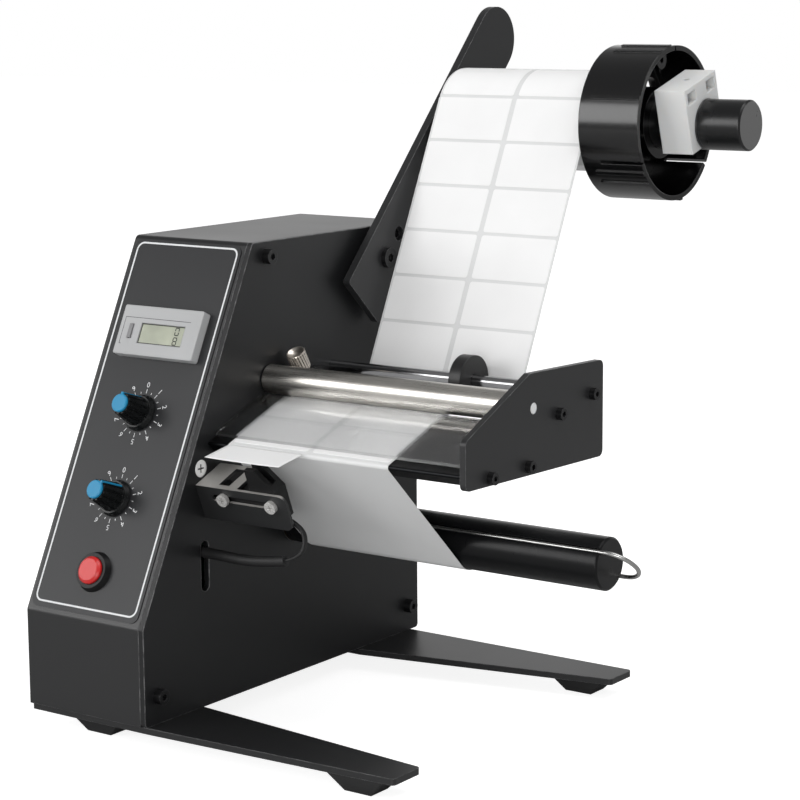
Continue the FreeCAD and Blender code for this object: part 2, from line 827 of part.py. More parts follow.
def case_cover():
    body = plate("YZ_Plane", case_outline(), "0", "case_width", [("bend_radius", (1, 2, 3))])
    solid = body.Tip
    open_faces = ["Face%d" % index for index, face in enumerate(solid.Shape.Faces, start=1)
                  if abs(face.CenterOfMass.x - sheet.case_width) < 1e-3
                  or abs(face.CenterOfMass.z - solid.Shape.BoundBox.ZMin) < 1e-3]
    hollow = body.newObject("PartDesign::Thickness", "Hollow")
    hollow.Base = (solid, open_faces)
    hollow.Reversed = True
    bind(hollow, "Value", "cover_wall")
    doc.recompute()
    inside = "cover_wall / 2"
    low = CASE_BASE + " + case_screw_rise - tab_width / 2"
    tabs = [
        cover_tab(inside, low, "tab_reach", "tab_width"),
        cover_tab("case_depth - tab_reach - " + inside, low, "tab_reach", "tab_width"),
        cover_tab(SLOPE_RUN + " + case_screw_slope_inset - tab_width / 2",
                  "case_top - tab_reach - " + inside, "tab_width", "tab_reach"),
        cover_tab("case_depth - tab_reach - " + inside, "case_top - tab_reach - " + inside,
                  "tab_reach", "tab_reach"),
    ]
    holes = [bar((SIDE_INNER + " - 2 * cover_wall", y, z), "x",
                 "cap_shank_radius + thread_clearance", "2 * cover_wall") for y, z in CASE_SCREWS]
    inlet_at = ("(case_width - inlet_width) / 2", "case_depth - 2 * cover_wall", "inlet_z - inlet_height / 2")
    inlet = box(inlet_at, ("inlet_width", "2 * cover_wall", "inlet_height"))
    shell = fuse(body, *tabs)
    deliver("case_cover", cut(shell, *holes, inlet, in_panel_frame(panel_tools())))


def plate_hole(y, z, radius):
    return bar((SIDE_INNER, y, z), "x", radius, "side_plate_thickness")


def side_plate():
    body = plate("YZ_Plane", case_outline(), SIDE_INNER, "side_plate_thickness",
                 [("side_corner", (0, 1, 2, 3, 4))])
    fit = " + thread_clearance"
    holes = [plate_hole(y, z, "cap_shank_radius" + fit) for y, z in CASE_SCREWS]
    holes += [plate_hole(y, z, "small_shank_radius" + fit) for y, z in FRAME_SCREWS + TAB_SCREWS]
    holes += [plate_hole(y, z, "cap_shank_radius" + fit) for y, z in SUNK_SCREWS]
    holes += [taper((SIDE_FACE, y, z), "-x", "sunk_head_radius", "cap_shank_radius", "sunk_head_depth")
              for y, z in SUNK_SCREWS]
    holes += [plate_hole("press_y", "press_z", "roller_pin_radius"),
              plate_hole("press_y", DRIVE_Z, "drive_bush_radius"),
              plate_hole("rewind_y", "rewind_z", "cartridge_radius")]
    holes += [plate_hole(*arm_place(along), "low_shank_radius" + fit)
              for along in ("arm_low_screw", "arm_high_screw")]
    half = "lead_slot_width / 2"
    holes += [plate_hole("lead_slot_y", "lead_slot_low", half),
              plate_hole("lead_slot_y", "lead_slot_high", half),
              box((SIDE_INNER, "lead_slot_y - " + half, "lead_slot_low"),
                  ("side_plate_thickness", "lead_slot_width", "lead_slot_high - lead_slot_low"))]
    deliver("side_plate", cut(body, *holes))


def arm_place(along):
    return (ARM_FOOT_Y + " + %s * cos(arm_lean * 1 deg)" % along,
            "arm_foot_z + %s * sin(arm_lean * 1 deg)" % along)


def bar_screw_places(inner, side):
    y = "%s %s bar_screw_from_inner" % (inner, side)
    return [(x, y) for x in ("bar_screw_first", "case_width - bar_screw_inset")]


def foot_bar_outline(tip_front, tip_rear, front_flare, rear_flare):
    """A bar that is straight under the case and narrows from there to its tip."""
    tip = "bar_left + bar_length"
    shoulder = "case_width + bar_shoulder_reach"
    root_front = "%s - %s" % (tip_front, front_flare)
    root_rear = "%s + %s" % (tip_rear, rear_flare)
    return [("bar_left", root_front), (shoulder, root_front), (tip, tip_front),
            (tip, tip_rear), (shoulder, root_rear), ("bar_left", root_rear)]


BAR_SCREWS = bar_screw_places("front_bar_inner", "-") + bar_screw_places(REAR_BAR_INNER, "+")


def base_and_feet():
    inner = "cover_wall + sheet_clearance"
    depth = "case_depth - 2 * cover_wall - 2 * sheet_clearance"
    width = "case_width - cover_wall - sheet_clearance"
    floor = box((inner, inner, CASE_BASE), (width, depth, "cover_wall"))
    flange_width = width + " - cover_wall - sheet_clearance - thread_clearance"
    flanges = [box((inner, y, CASE_BASE), (flange_width, "cover_wall", "base_flange"))
               for y in (inner, "case_depth - 2 * cover_wall - sheet_clearance")]
    drill = "cap_shank_radius + thread_clearance"
    holes = [bar((x, y, CASE_BASE), "z", drill, "cover_wall") for x, y in BAR_SCREWS]
    deliver("base_plate", cut(fuse(floor, *flanges), *holes))

    front = foot_bar_outline("front_bar_inner - bar_tip_width", "front_bar_inner",
                             "front_bar_outer_flare", "front_bar_inner_flare")
    rear = foot_bar_outline(REAR_BAR_INNER, REAR_BAR_INNER + " + bar_tip_width",
                            "rear_bar_inner_flare", "rear_bar_outer_flare")
    bars = []
    for outline, places in ((front, BAR_SCREWS[:2]), (rear, BAR_SCREWS[2:])):
        strip_body = plate("XY_Plane", outline, "foot_height", "bar_thickness", [("side_corner", (2, 3))])
        drilled = [bar((x, y, "foot_height"), "z", drill, "bar_thickness") for x, y in places]
        bars.append(cut(strip_body, *drilled))
    deliver("foot_bars", group(bars))

    feet = [rubber_foot(x, y) for x in (FOOT_LEFT, FOOT_RIGHT) for y in (FOOT_FRONT, FOOT_REAR)]
    deliver("rubber_feet", group(feet))

    screws = []
    for x, y in BAR_SCREWS:
        screws.append(screw((x, y, "foot_height"), "-z", "cap_head_radius", "cap_head_height",
                            "cap_key_radius", "cap_shank_radius", "cap_shank_length"))
        nut_start = (x, y, CASE_BASE + " + cover_wall")
        screws.append(cut(hexagon(nut_start, "z", "nut_radius", "nut_height"),
                          bar(nut_start, "z", drill, "nut_height")))
    deliver("foot_bar_screws", group(screws))


def rubber_foot(x, y):
    """A block that narrows towards the floor."""
    foot = doc.addObject("Part::Wedge", "Foot")
    foot.Placement.Rotation = FreeCAD.Rotation(X_AXIS, 90)
    for prop, formula in (("Xmin", "-foot_base_length / 2"), ("Xmax", "foot_base_length / 2"),
                          ("Zmin", "-foot_base_width / 2"), ("Zmax", "foot_base_width / 2"),
                          ("X2min", "-foot_top_length / 2"), ("X2max", "foot_top_length / 2"),
                          ("Z2min", "-foot_top_width / 2"), ("Z2max", "foot_top_width / 2"),
                          ("Ymin", "0"), ("Ymax", "foot_height")):
        bind(foot, prop, formula)
    return seat(foot, (x, y, "0"))


def case_screws():
    deliver("case_screws", group([cap_screw((SIDE_FACE, y, z), "x") for y, z in CASE_SCREWS]))
    sunk = []
    for y, z in SUNK_SCREWS:
        head = taper((SIDE_FACE, y, z), "-x", "sunk_head_radius", "cap_shank_radius", "sunk_head_depth")
        shank = bar((SIDE_FACE, y, z), "-x", "cap_shank_radius", "sunk_shank_length")
        recess = cross_recess((SIDE_FACE, y, z), "x", "cap_shank_radius")
        sunk.append(cut(fuse(head, shank), recess))
    for (y, z), sheet_under in zip(SUNK_SCREWS, ("0", "bracket_sheet", "bracket_sheet")):
        place = (SIDE_INNER + " - " + sheet_under, y, z)
        sunk.append(cut(hexagon(place, "-x", "nut_radius", "nut_height"),
                        bar(place, "-x", "cap_shank_radius + thread_clearance", "nut_height")))
    deliver("countersunk_screws", group(sunk))


# ---------------------------------------------------------------- control panel

def panel_overlay():
    right = "case_width - panel_margin_side"
    high = SLOPE_LENGTH + " - panel_margin_end"
    outline = [("panel_margin_side", "panel_margin_end"), (right, "panel_margin_end"),
               (right, high), ("panel_margin_side", high)]
    skin = plate("XY_Plane", outline, "0", "overlay_thickness", [("panel_corner", (0, 1, 2, 3))])
    deliver("panel_overlay", cut(skin, *panel_tools()), "panel")


def counter():
    left, rise = "counter_left", "counter_rise"
    bezel_outline = [(left, rise), (left + " + counter_width", rise),
                     (left + " + counter_width", rise + " + counter_height"),
                     (left, rise + " + counter_height")]
    bezel = plate("XY_Plane", bezel_outline, PANEL_SKIN, "counter_proud - overlay_thickness",
                  [("counter_corner", (0, 1, 2, 3))])
    inset = "counter_body_inset"
    rear = box((left + " + " + inset, rise + " + " + inset, "-counter_body_depth"),
               ("counter_width - 2 * " + inset, "counter_height - 2 * " + inset,
                "counter_body_depth + overlay_thickness"))
    window_at = ("counter_left + window_left", "counter_rise + window_rise", "counter_proud - window_depth")
    window = box(window_at, ("window_width", "window_height", "window_depth"))
    reset_at = ("counter_left + reset_left", "counter_rise + reset_rise")
    slot_depth = "(reset_depth + reset_travel + button_clearance)"
    slot = box((reset_at[0] + " - button_clearance", reset_at[1] + " - button_clearance",
                "counter_proud - " + slot_depth),
               ("reset_width + 2 * button_clearance", "reset_height + 2 * button_clearance", slot_depth))
    deliver("counter_housing", cut(fuse(bezel, rear), window, slot), "panel")
    deliver("counter_display", box(window_at, ("window_width", "window_height", "window_glass")), "panel")
    deliver("counter_reset_button",
            box(reset_at + ("counter_proud - reset_depth",),
                ("reset_width", "reset_height", "reset_depth + reset_proud")), "panel")


def along_grip(item, start, angle):
    """The item, made upright at the origin, laid against the grip's taper."""
    leaning = turned(item, Y_AXIS, "-" + KNOB_LEAN)
    seat(leaning, ("knob_foot_radius", "0", start))
    return turned(leaning, Z_AXIS, "%f" % angle)


def knob_flute(start, angle):
    return along_grip(bar(("0", "0", "0"), "z", "knob_flute_radius", "knob_height"), start, angle)


def knob_pointer(start):
    """The coloured stripe let into the grip, up to the middle of the cap's edge."""
    length = "(knob_height - knob_skirt_height + knob_cap_height / 2) / cos(%s * 1 deg)" % KNOB_LEAN
    stripe = box(("-pointer_depth", "-pointer_width / 2", "0"),
                 ("pointer_depth + pointer_proud", "pointer_width", length))
    return along_grip(stripe, start, 90)


def knob_cap(grip_start, head):
    disc = bar(("0", "0", head), "z", "knob_cap_radius", "knob_cap_height - knob_cap_edge")
    edge = taper(("0", "0", head + " + knob_cap_height - knob_cap_edge"), "z", "knob_cap_radius",
                 "knob_cap_radius - knob_cap_edge", "knob_cap_edge")
    bridge = box(("-pointer_width / 2", "0", head),
                 ("pointer_width", "knob_head_radius + pointer_proud", "knob_cap_height - knob_cap_edge"))
    return fuse(disc, edge, bridge, knob_pointer(grip_start))


def knob(prefix, rise, turn):
    """A fluted knob with a coloured cap and pointer, on its potentiometer's shaft."""
    foot = "(overlay_thickness + knob_gap)"
    head = "(overlay_thickness + knob_gap + knob_height)"
    skirt = taper(("0", "0", foot), "z", "knob_skirt_radius", "knob_skirt_radius - 1", "knob_skirt_height")
    grip_start = foot + " + knob_skirt_height"
    grip = taper(("0", "0", grip_start), "z", "knob_foot_radius", "knob_head_radius",
                 "knob_height - knob_skirt_height")
    recess = bar(("0", "0", foot), "z", "knob_nut_recess", "knob_skirt_height")
    bore = bar(("0", "0", foot), "z", "pot_shaft_radius", "pot_shaft_length - knob_gap - overlay_thickness"
               " - pot_shaft_depth")
    flutes = [knob_flute(grip_start, 360.0 * (k + 0.5) / FLUTES) for k in range(FLUTES)]
    shell = cut(fuse(skirt, grip), recess, bore, knob_pointer(grip_start), *flutes)
    cap = knob_cap(grip_start, head)
    shaft = bar(("0", "0", "-pot_shaft_depth"), "z", "pot_shaft_radius", "pot_shaft_length")
    for ending, item in (("_knob", shell), ("_knob_cap", cap), ("_pot_shaft", shaft)):
        placed = turned(item, Z_AXIS, turn)
        seat(placed, ("panel_centre", rise, "0"))
        deliver(prefix + ending, group([placed]), "panel")


def potentiometers():
    parts = []
    for rise in ("length_knob_rise", "speed_knob_rise"):
        back = ("panel_centre", rise, "-cover_wall - pot_body_depth")
        housing = bar(back, "z", "pot_body_radius", "pot_body_depth")
        bush = bar(back, "z", "pot_bush_radius",
                   "pot_body_depth + cover_wall + overlay_thickness + pot_nut_height")
        bore = bar(("panel_centre", rise, "-pot_shaft_depth"), "z", "pot_shaft_radius + running_clearance",
                   "pot_shaft_depth + overlay_thickness + pot_nut_height")
        parts.append(cut(fuse(housing, bush), bore))
        nut_at = ("panel_centre", rise, PANEL_SKIN)
        parts.append(cut(hexagon(nut_at, "z", "pot_nut_radius", "pot_nut_height"),
                         bar(nut_at, "z", "pot_bush_radius + thread_clearance", "pot_nut_height")))
    deliver("potentiometers", group(parts), "panel")


def power_button():
    place = ("panel_centre", "button_rise")
    flange = taper(place + (PANEL_SKIN,), "z", "switch_flange_radius", "switch_flange_radius - button_edge",
                   "switch_flange_height")
    barrel = bar(place + ("-switch_barrel_depth",), "z", "switch_barrel_radius",
                 "switch_barrel_depth + overlay_thickness")
    well_depth = "(button_depth + button_travel)"
    well = bar(place + ("-" + well_depth,), "z", "button_radius + button_clearance",
               well_depth + " + overlay_thickness + switch_flange_height")
    deliver("power_switch", cut(fuse(flange, barrel), well), "panel")
    stem = bar(place + ("-button_depth",), "z", "button_radius",
               "button_depth + overlay_thickness + button_proud - button_edge")
    crown = taper(place + ("overlay_thickness + button_proud - button_edge",), "z", "button_radius",
                  "button_radius - button_edge", "button_edge")
    deliver("power_button", fuse(stem, crown), "panel")


# ---------------------------------------------------------------- roller unit

def outboard_plate():
    slant = "outboard_front + outboard_slant_run"
    outline = [("outboard_front", "outboard_front_low"), ("outboard_front", "outboard_front_high"),
               (slant, "outboard_top_front"), ("outboard_rear", "outboard_top_rear"),
               ("outboard_rear", "outboard_rear_low")]
    body = plate("YZ_Plane", outline, OUTBOARD_INNER, "outboard_thickness",
                 [("outboard_corner", (0, 1, 2, 3, 4))])
    holes = [bar((OUTBOARD_INNER, y, z), "x", "small_shank_radius + thread_clearance", "outboard_thickness")
             for y, z in FRAME_SCREWS]
    holes.append(bar((OUTBOARD_INNER, "press_y", "press_z"), "x", "roller_pin_radius", "outboard_thickness"))
    holes.append(bar((OUTBOARD_INNER, "press_y", DRIVE_Z), "x", "outboard_bush_radius",
                     "outboard_bush_depth"))
    deliver("outboard_plate", cut(body, *holes))
    outer = [small_screw((OUTBOARD_FACE, y, z), "x") for y, z in FRAME_SCREWS]
    inner = [small_screw((SIDE_INNER, y, z), "-x") for y, z in FRAME_SCREWS]
    tab = [small_screw((SIDE_FACE + " + sensor_sheet", y, z), "x") for y, z in TAB_SCREWS]
    nuts = [cut(hexagon((SIDE_INNER, y, z), "-x", "small_head_radius", "nut_height"),
                bar((SIDE_INNER, y, z), "-x", "small_shank_radius + thread_clearance", "nut_height"))
            for y, z in TAB_SCREWS]
    deliver("frame_screws", group(outer + inner + tab + nuts))


def tapped_rod(y, z, radius):
    """A rod between the two plates, tapped at both ends."""
    reach = "small_shank_length - outboard_thickness"
    tap = "small_shank_radius + thread_clearance"
    return cut(bar((SIDE_FACE, y, z), "x", radius, "clear_width"),
               bar((SIDE_FACE, y, z), "x", tap, reach),
               bar((OUTBOARD_INNER, y, z), "-x", tap, reach))


def rollers():
    gap = "press_end_gap"
    deliver("press_roller", tube((SIDE_FACE + " + " + gap, "press_y", "press_z"), "x", "press_radius",
                                 "roller_pin_radius + running_clearance", "clear_width - 2 * " + gap))
    pin_length = "outboard_thickness + press_end_gap + roller_pin_reach"
    deliver("roller_pins", group([
        bar((OUTBOARD_FACE, "press_y", "press_z"), "-x", "roller_pin_radius", pin_length),
        bar((SIDE_INNER, "press_y", "press_z"), "x", "roller_pin_radius", pin_length)]))

    sleeve_start = SIDE_FACE + " + drive_end_gap"
    sleeve_length = "clear_width - 2 * drive_end_gap"
    deliver("drive_roller", tube((sleeve_start, "press_y", DRIVE_Z), "x", "drive_radius",
                                 "drive_shaft_radius", sleeve_length))
    journal = "drive_end_gap + outboard_bush_depth - press_end_gap"
    main = bar((SHAFT_INNER_END, "press_y", DRIVE_Z), "x", "drive_shaft_radius",
               OUTBOARD_INNER + " - drive_end_gap - " + SHAFT_INNER_END)
    tip = bar((OUTBOARD_INNER + " - drive_end_gap", "press_y", DRIVE_Z), "x", "drive_journal_radius", journal)
    deliver("drive_roller_shaft", fuse(main, tip))

    deliver("guide_rod", tapped_rod("guide_rod_y", "guide_rod_z", "guide_rod_radius"))
    deliver("tie_rod", tapped_rod("tie_rod_y", "tie_rod_z", "tie_rod_radius"))
    deliver("guide_disc", tube((SIDE_FACE + " + disc_offset", "guide_rod_y", "guide_rod_z"), "x",
                               "disc_radius", "guide_rod_radius + running_clearance", "disc_width"))


def shaft_bearings():
    play = " + running_clearance"
    drive_inner = tube((SIDE_INNER + " - cartridge_flange_width", "press_y", DRIVE_Z), "x",
                       "drive_bush_radius", "drive_shaft_radius" + play,
                       "side_plate_thickness + cartridge_flange_width")
    drive_outer = tube((OUTBOARD_INNER, "press_y", DRIVE_Z), "x", "outboard_bush_radius",
                       "drive_journal_radius" + play, "outboard_bush_depth")
    start = (CARTRIDGE_START, "rewind_y", "rewind_z")
    length = "cartridge_depth + side_plate_thickness"
    body = bar(start, "x", "cartridge_radius", length)
    flange = bar((SIDE_INNER, "rewind_y", "rewind_z"), "-x", "cartridge_flange_radius",
                 "cartridge_flange_width")
    bore = bar(start, "x", "rewind_journal_radius" + play, length)
    deliver("shaft_bearings", group([drive_inner, drive_outer, cut(fuse(body, flange), bore)]))


def left_guide():
    left = SIDE_FACE + " + collar_offset"
    start = (left, "0", "0")
    ring = bar(start, "x", "collar_radius", "collar_width")
    lip = bar((left + " + collar_width", "0", "0"), "x", "collar_lip_radius", "collar_lip_width")
    bore = bar(start, "x", "tie_rod_radius + running_clearance", "collar_width + collar_lip_width")
    middle = left + " + collar_width / 2"
    tapped = bar((middle, "0", "0"), "z", "thumb_stem_radius + running_clearance", "collar_radius")
    stem = bar((middle, "0", "tie_rod_radius + 2 * running_clearance"), "z", "thumb_stem_radius",
               "thumb_head_start - tie_rod_radius - 2 * running_clearance")
    head = bar((middle, "0", "thumb_head_start"), "z", "thumb_head_radius", "thumb_head_height")
    dish = taper((middle, "0", "thumb_head_start + thumb_head_height - thumb_dish"), "z",
                 "thumb_head_radius / 2", "thumb_head_radius - thumb_dish / 2", "thumb_dish")
    for node, item in (("guide_collar", cut(fuse(ring, lip), bore, tapped)),
                       ("thumbscrew", cut(fuse(stem, head), dish))):
        leaning = turned(item, X_AXIS, "thumb_lean")
        seat(leaning, ("0", "tie_rod_y", "tie_rod_z"))
        deliver(node, group([leaning]))


def peel_table():
    crest_z = "nose_z + (table_rear - nose_y) * tan(table_slope * 1 deg)"
    outline = [("nose_y", "nose_z"), ("table_rear", crest_z), ("table_rear", "table_foot_high"),
               ("table_foot_rear", "table_foot_high"), ("table_foot_rear", "table_foot_low"),
               ("table_foot_front", "table_foot_low")]
    body = plate("YZ_Plane", outline, SIDE_FACE, "clear_width",
                 [("nose_radius", (0,)), ("table_crest_radius", (1,))])
    reach = "small_shank_length - outboard_thickness"
    tap = "small_shank_radius + thread_clearance"
    holes = []
    for y, z in FRAME_SCREWS[:2]:
        holes.append(bar((SIDE_FACE, y, z), "x", tap, reach))
        holes.append(bar((OUTBOARD_INNER, y, z), "-x", tap, reach))
    deliver("peel_table", cut(body, *holes))
    deliver("hold_down_plate",
            box(("0", "cover_start", "cover_gap"), ("clear_width", "cover_length", "cover_thickness")),
            "table")


# ---------------------------------------------------------------- label web

def label_web():
    """The liner with its labels, from the roll to the rewind shaft, and the label that leaves it."""
    half = sheet.web_thickness / 2
    lift = sheet.web_gap + half
    lean = math.radians(sheet.arm_lean)
    spool_y = sheet.case_depth - sheet.arm_foot_inset + sheet.spool_along * math.cos(lean)
    spool_z = sheet.arm_foot_z + sheet.spool_along * math.sin(lean)
    slope = math.radians(sheet.table_slope)
    crest_z = sheet.nose_z + (sheet.table_rear - sheet.nose_y) * math.tan(slope)
    crest = rounded_corner((sheet.nose_y, sheet.nose_z), (sheet.table_rear, crest_z),
                           (sheet.table_rear, sheet.table_foot_high), sheet.table_crest_radius)
    nose = rounded_corner((sheet.table_foot_front, sheet.table_foot_low), (sheet.nose_y, sheet.nose_z),
                          (sheet.table_rear, crest_z), sheet.nose_radius)
    circles = [
        (spool_y, spool_z, sheet.roll_radius + lift),
        (sheet.guide_rod_y, sheet.guide_rod_z, -(sheet.disc_radius + lift)),
        (sheet.tie_rod_y, sheet.tie_rod_z, sheet.tie_rod_radius + lift),
        (sheet.press_y, sheet.press_z, -(sheet.press_radius + lift)),
        crest + (sheet.table_crest_radius + lift,),
        nose + (sheet.nose_radius + lift,),
        (sheet.rewind_y, sheet.rewind_z, sheet.rewind_radius + lift),
    ]
    web_left = sheet.case_width + sheet.side_plate_thickness + sheet.web_offset
    ribbon = strip(circles, math.radians(sheet.wrap_end_angle), sheet.web_thickness, web_left,
                   sheet.web_width)
    leaving = Part.makeBox(sheet.label_width, sheet.label_length, sheet.web_thickness)
    droop = FreeCAD.Rotation(X_AXIS, sheet.label_droop)
    edge_gap = sheet.nose_radius + 2 * lift
    back = FreeCAD.Vector(web_left + 2 * sheet.web_gap, nose[0] - edge_gap, nose[1])
    forward = droop.multVec(FreeCAD.Vector(0, -sheet.label_length, 0))
    leaving.Placement = FreeCAD.Placement(back + forward + FreeCAD.Vector(0, 0, sheet.nose_radius), droop)
    deliver("label_web", feature(Part.makeCompound([ribbon, leaving])))
    deliver("label_roll", tube(("web_offset - arm_gap - arm_thickness", "0", "0"), "x", "roll_radius",
                               "roll_core_radius", "web_width"), "spool")


def rounded_corner(before, corner, after, radius):
    """Centre of the round of this radius at a polygon's corner."""
    first = FreeCAD.Vector(before[0] - corner[0], before[1] - corner[1], 0).normalize()
    second = FreeCAD.Vector(after[0] - corner[0], after[1] - corner[1], 0).normalize()
    half = first.getAngle(second) / 2
    middle = (first + second).normalize() * (radius / math.sin(half))
    return (corner[0] + middle.x, corner[1] + middle.y)


# ---------------------------------------------------------------- spool

def spool_arm():
    half = "arm_width / 2"
    outline = [("0", "0"), ("arm_reach", "0"), ("arm_reach", "arm_width"), ("0", "arm_width")]
    blade = plate("YZ_Plane", outline, "0", "arm_thickness", [("arm_foot_corner", (0, 3))])
    bind(blade, "Placement.Base.z", "-" + half)
    end = bar(("0", "arm_reach", "0"), "x", half, "arm_thickness")
    holes = [bar(("0", "arm_low_screw", "0"), "x", "low_shank_radius + thread_clearance", "arm_thickness"),
             bar(("0", "arm_high_screw", "0"), "x", "arm_sight_radius", "arm_thickness"),
             bar(("0", "spool_along", "0"), "x", "low_shank_radius + thread_clearance", "arm_thickness")]
    deliver("spool_arm", cut(fuse(blade, end), *holes), "arm")

    low = arm_place("arm_low_screw")
    high = arm_place("arm_high_screw")
    bore = "low_shank_radius + thread_clearance"
    deliver("arm_spacers", group([tube((SIDE_FACE,) + place, "x", "arm_spacer_radius", bore, "arm_gap")
                                  for place in (low, high)]))
    sizes = ("low_head_height", "low_key_radius", "low_shank_radius")
    low_screw = screw((ARM_FACE,) + low, "x", "low_head_radius", *sizes, "arm_shank_length")
    high_screw = screw((ARM_INNER,) + high, "x", "arm_sight_radius - running_clearance", *sizes,
                       "arm_shank_length - arm_thickness")
    spool_screw = screw((ARM_INNER, SPOOL_Y, SPOOL_Z), "-x", "low_head_radius", *sizes, "arm_shank_length")
    deliver("arm_screws", group([low_screw, high_screw, spool_screw]))

    blank = bar(("0", "0", "0"), "x", "spool_radius", "spool_length - shaft_chamfer")
    tip = taper(("spool_length - shaft_chamfer", "0", "0"), "x", "spool_radius",
                "spool_radius - shaft_chamfer", "shaft_chamfer")
    tap = bar(("0", "0", "0"), "x", bore, "arm_shank_length - arm_thickness")
    groove_at = (HOLDER_END + " + block_gap + block_width + spool_groove_gap", "0", "0")
    groove = tube(groove_at, "x", "spool_radius + spool_groove_depth", "spool_radius - spool_groove_depth",
                  "spool_groove_width")
    deliver("spool_shaft", cut(fuse(blank, tip), tap, groove), "spool")


def core_holder():
    start = ("holder_start", "0", "0")
    inner = "(holder_radius - holder_wall)"
    ring = tube(start, "x", "holder_radius", inner, "holder_width")
    disc_at = ("holder_start + holder_disc_offset", "0", "0")
    disc = bar(disc_at, "x", inner + " + holder_wall / 2", "holder_disc_thickness")
    hub = bar(start, "x", "holder_hub_radius", "holder_hub_width")
    bosses = []
    pilots = []
    windows = []
    for k in range(HOLDER_SECTORS):
        angle = 217.0 + 360.0 * k / HOLDER_SECTORS
        boss = bar(("holder_start + holder_disc_offset", "holder_boss_at", "0"), "x",
                   "holder_boss_radius", "holder_boss_width")
        pilot = bar(("holder_start + holder_disc_offset + holder_boss_width", "holder_boss_at", "0"), "-x",
                    "holder_pilot_radius", "holder_boss_width / 2")
        middle = "(holder_hub_radius + holder_radius) / 2"
        window = bar(("holder_start + holder_disc_offset", middle, "0"), "x", "holder_boss_radius",
                     "holder_disc_thickness")
        bosses.append(turned(boss, X_AXIS, "%f" % angle))
        pilots.append(turned(pilot, X_AXIS, "%f" % angle))
        windows.append(turned(window, X_AXIS, "%f" % (angle + 180.0 / HOLDER_SECTORS)))
    ribs = []
    for angle in HOLDER_RIB_ANGLES:
        rib = box(("holder_start + 2 * holder_disc_thickness", "-holder_rib_width / 2",
                   inner + " + holder_wall / 2"),
                  ("holder_width - 2 * holder_disc_thickness", "holder_rib_width",
                   "holder_wall / 2 + holder_rib_height"))
        ribs.append(turned(rib, X_AXIS, "%f" % (angle - 90.0)))
    slot_at = (HOLDER_END + " - holder_slot_depth", "-holder_slot_width / 2", inner + " - holder_wall")
    slot_size = ("holder_slot_depth", "holder_slot_width", "3 * holder_wall")
    slots = [turned(box(slot_at, slot_size), X_AXIS, "%f" % (angle - 90.0))
             for angle in HOLDER_SLOT_ANGLES]
    bore = bar(start, "x", "spool_radius + running_clearance", "holder_hub_width")
    body = fuse(ring, disc, hub, *bosses, *ribs)
    deliver("core_holder", cut(body, bore, *pilots, *windows, *slots), "spool")


def lock_block():
    """A plastic saddle that snaps on the spool shaft from above and keeps the core holder in place."""
    start = "(%s + block_gap)" % HOLDER_END
    cube = box((start, "-block_front", "-block_below"),
               ("block_width", "block_front + block_back", "block_below + block_above"))
    bore = bar((start, "0", "0"), "x", "spool_radius + running_clearance", "block_width")
    pocket_x = start + " + block_width - block_pocket_depth"
    pocket_z = "block_above - block_pocket_rim - block_pocket_height"
    pockets = [box((pocket_x, y, pocket_z),
                   ("block_pocket_depth", "block_pocket_width", "block_pocket_height"))
               for y in ("block_pocket_rim - block_front",
                         "block_back - block_pocket_rim - block_pocket_width")]
    set_hole = bar((start + " + block_width / 2", "0", "0"), "z", "block_hole_radius", "block_above")
    shaped = cut(cube, bore, set_hole, *pockets)
    deliver("lock_block", group([turned(shaped, X_AXIS, "block_angle")]), "spool")


# ---------------------------------------------------------------- rewind shaft

def rewind_shaft():
    start = "rewind_plate_gap"
    main = bar((start, "0", "0"), "x", "rewind_radius", "rewind_length - shaft_chamfer - " + start)
    tip = taper(("rewind_length - shaft_chamfer", "0", "0"), "x", "rewind_radius",
                "rewind_radius - shaft_chamfer", "shaft_chamfer")
    inside = "side_plate_thickness + inner_shaft_depth"
    journal = bar(("-(%s)" % inside, "0", "0"), "x", "rewind_journal_radius", "%s + %s" % (inside, start))
    depth = "(clip_sink + clip_groove_width / 2)"
    grooves = []
    for side in ("rewind_radius - " + depth, "-rewind_radius"):
        grooves.append(box(("clip_start", side, "-clip_groove_width / 2"),
                           ("rewind_length - clip_start", depth, "clip_groove_width")))
    deliver("rewind_shaft", cut(fuse(main, tip, journal), *grooves), "rewind")

    leg_end = "(rewind_length + clip_loop_gap)"
    leg_start = "(clip_start + thread_clearance)"
    leg_length = leg_end + " - " + leg_start
    legs = [bar((leg_start, side + CLIP_PITCH, "0"), "x", "clip_wire_radius", leg_length)
            for side in ("", "-")]
    bend = doc.addObject("Part::Torus", "Bend")
    bend.Placement.Rotation = FreeCAD.Rotation(Z_AXIS, -90)
    bind(bend, "Radius1", CLIP_PITCH)
    bind(bend, "Radius2", "clip_wire_radius")
    bend.Angle3 = 180
    seat(bend, (leg_end, "0", "0"))
    deliver("liner_clip", fuse(*legs, bend), "rewind")


# ---------------------------------------------------------------- sensor

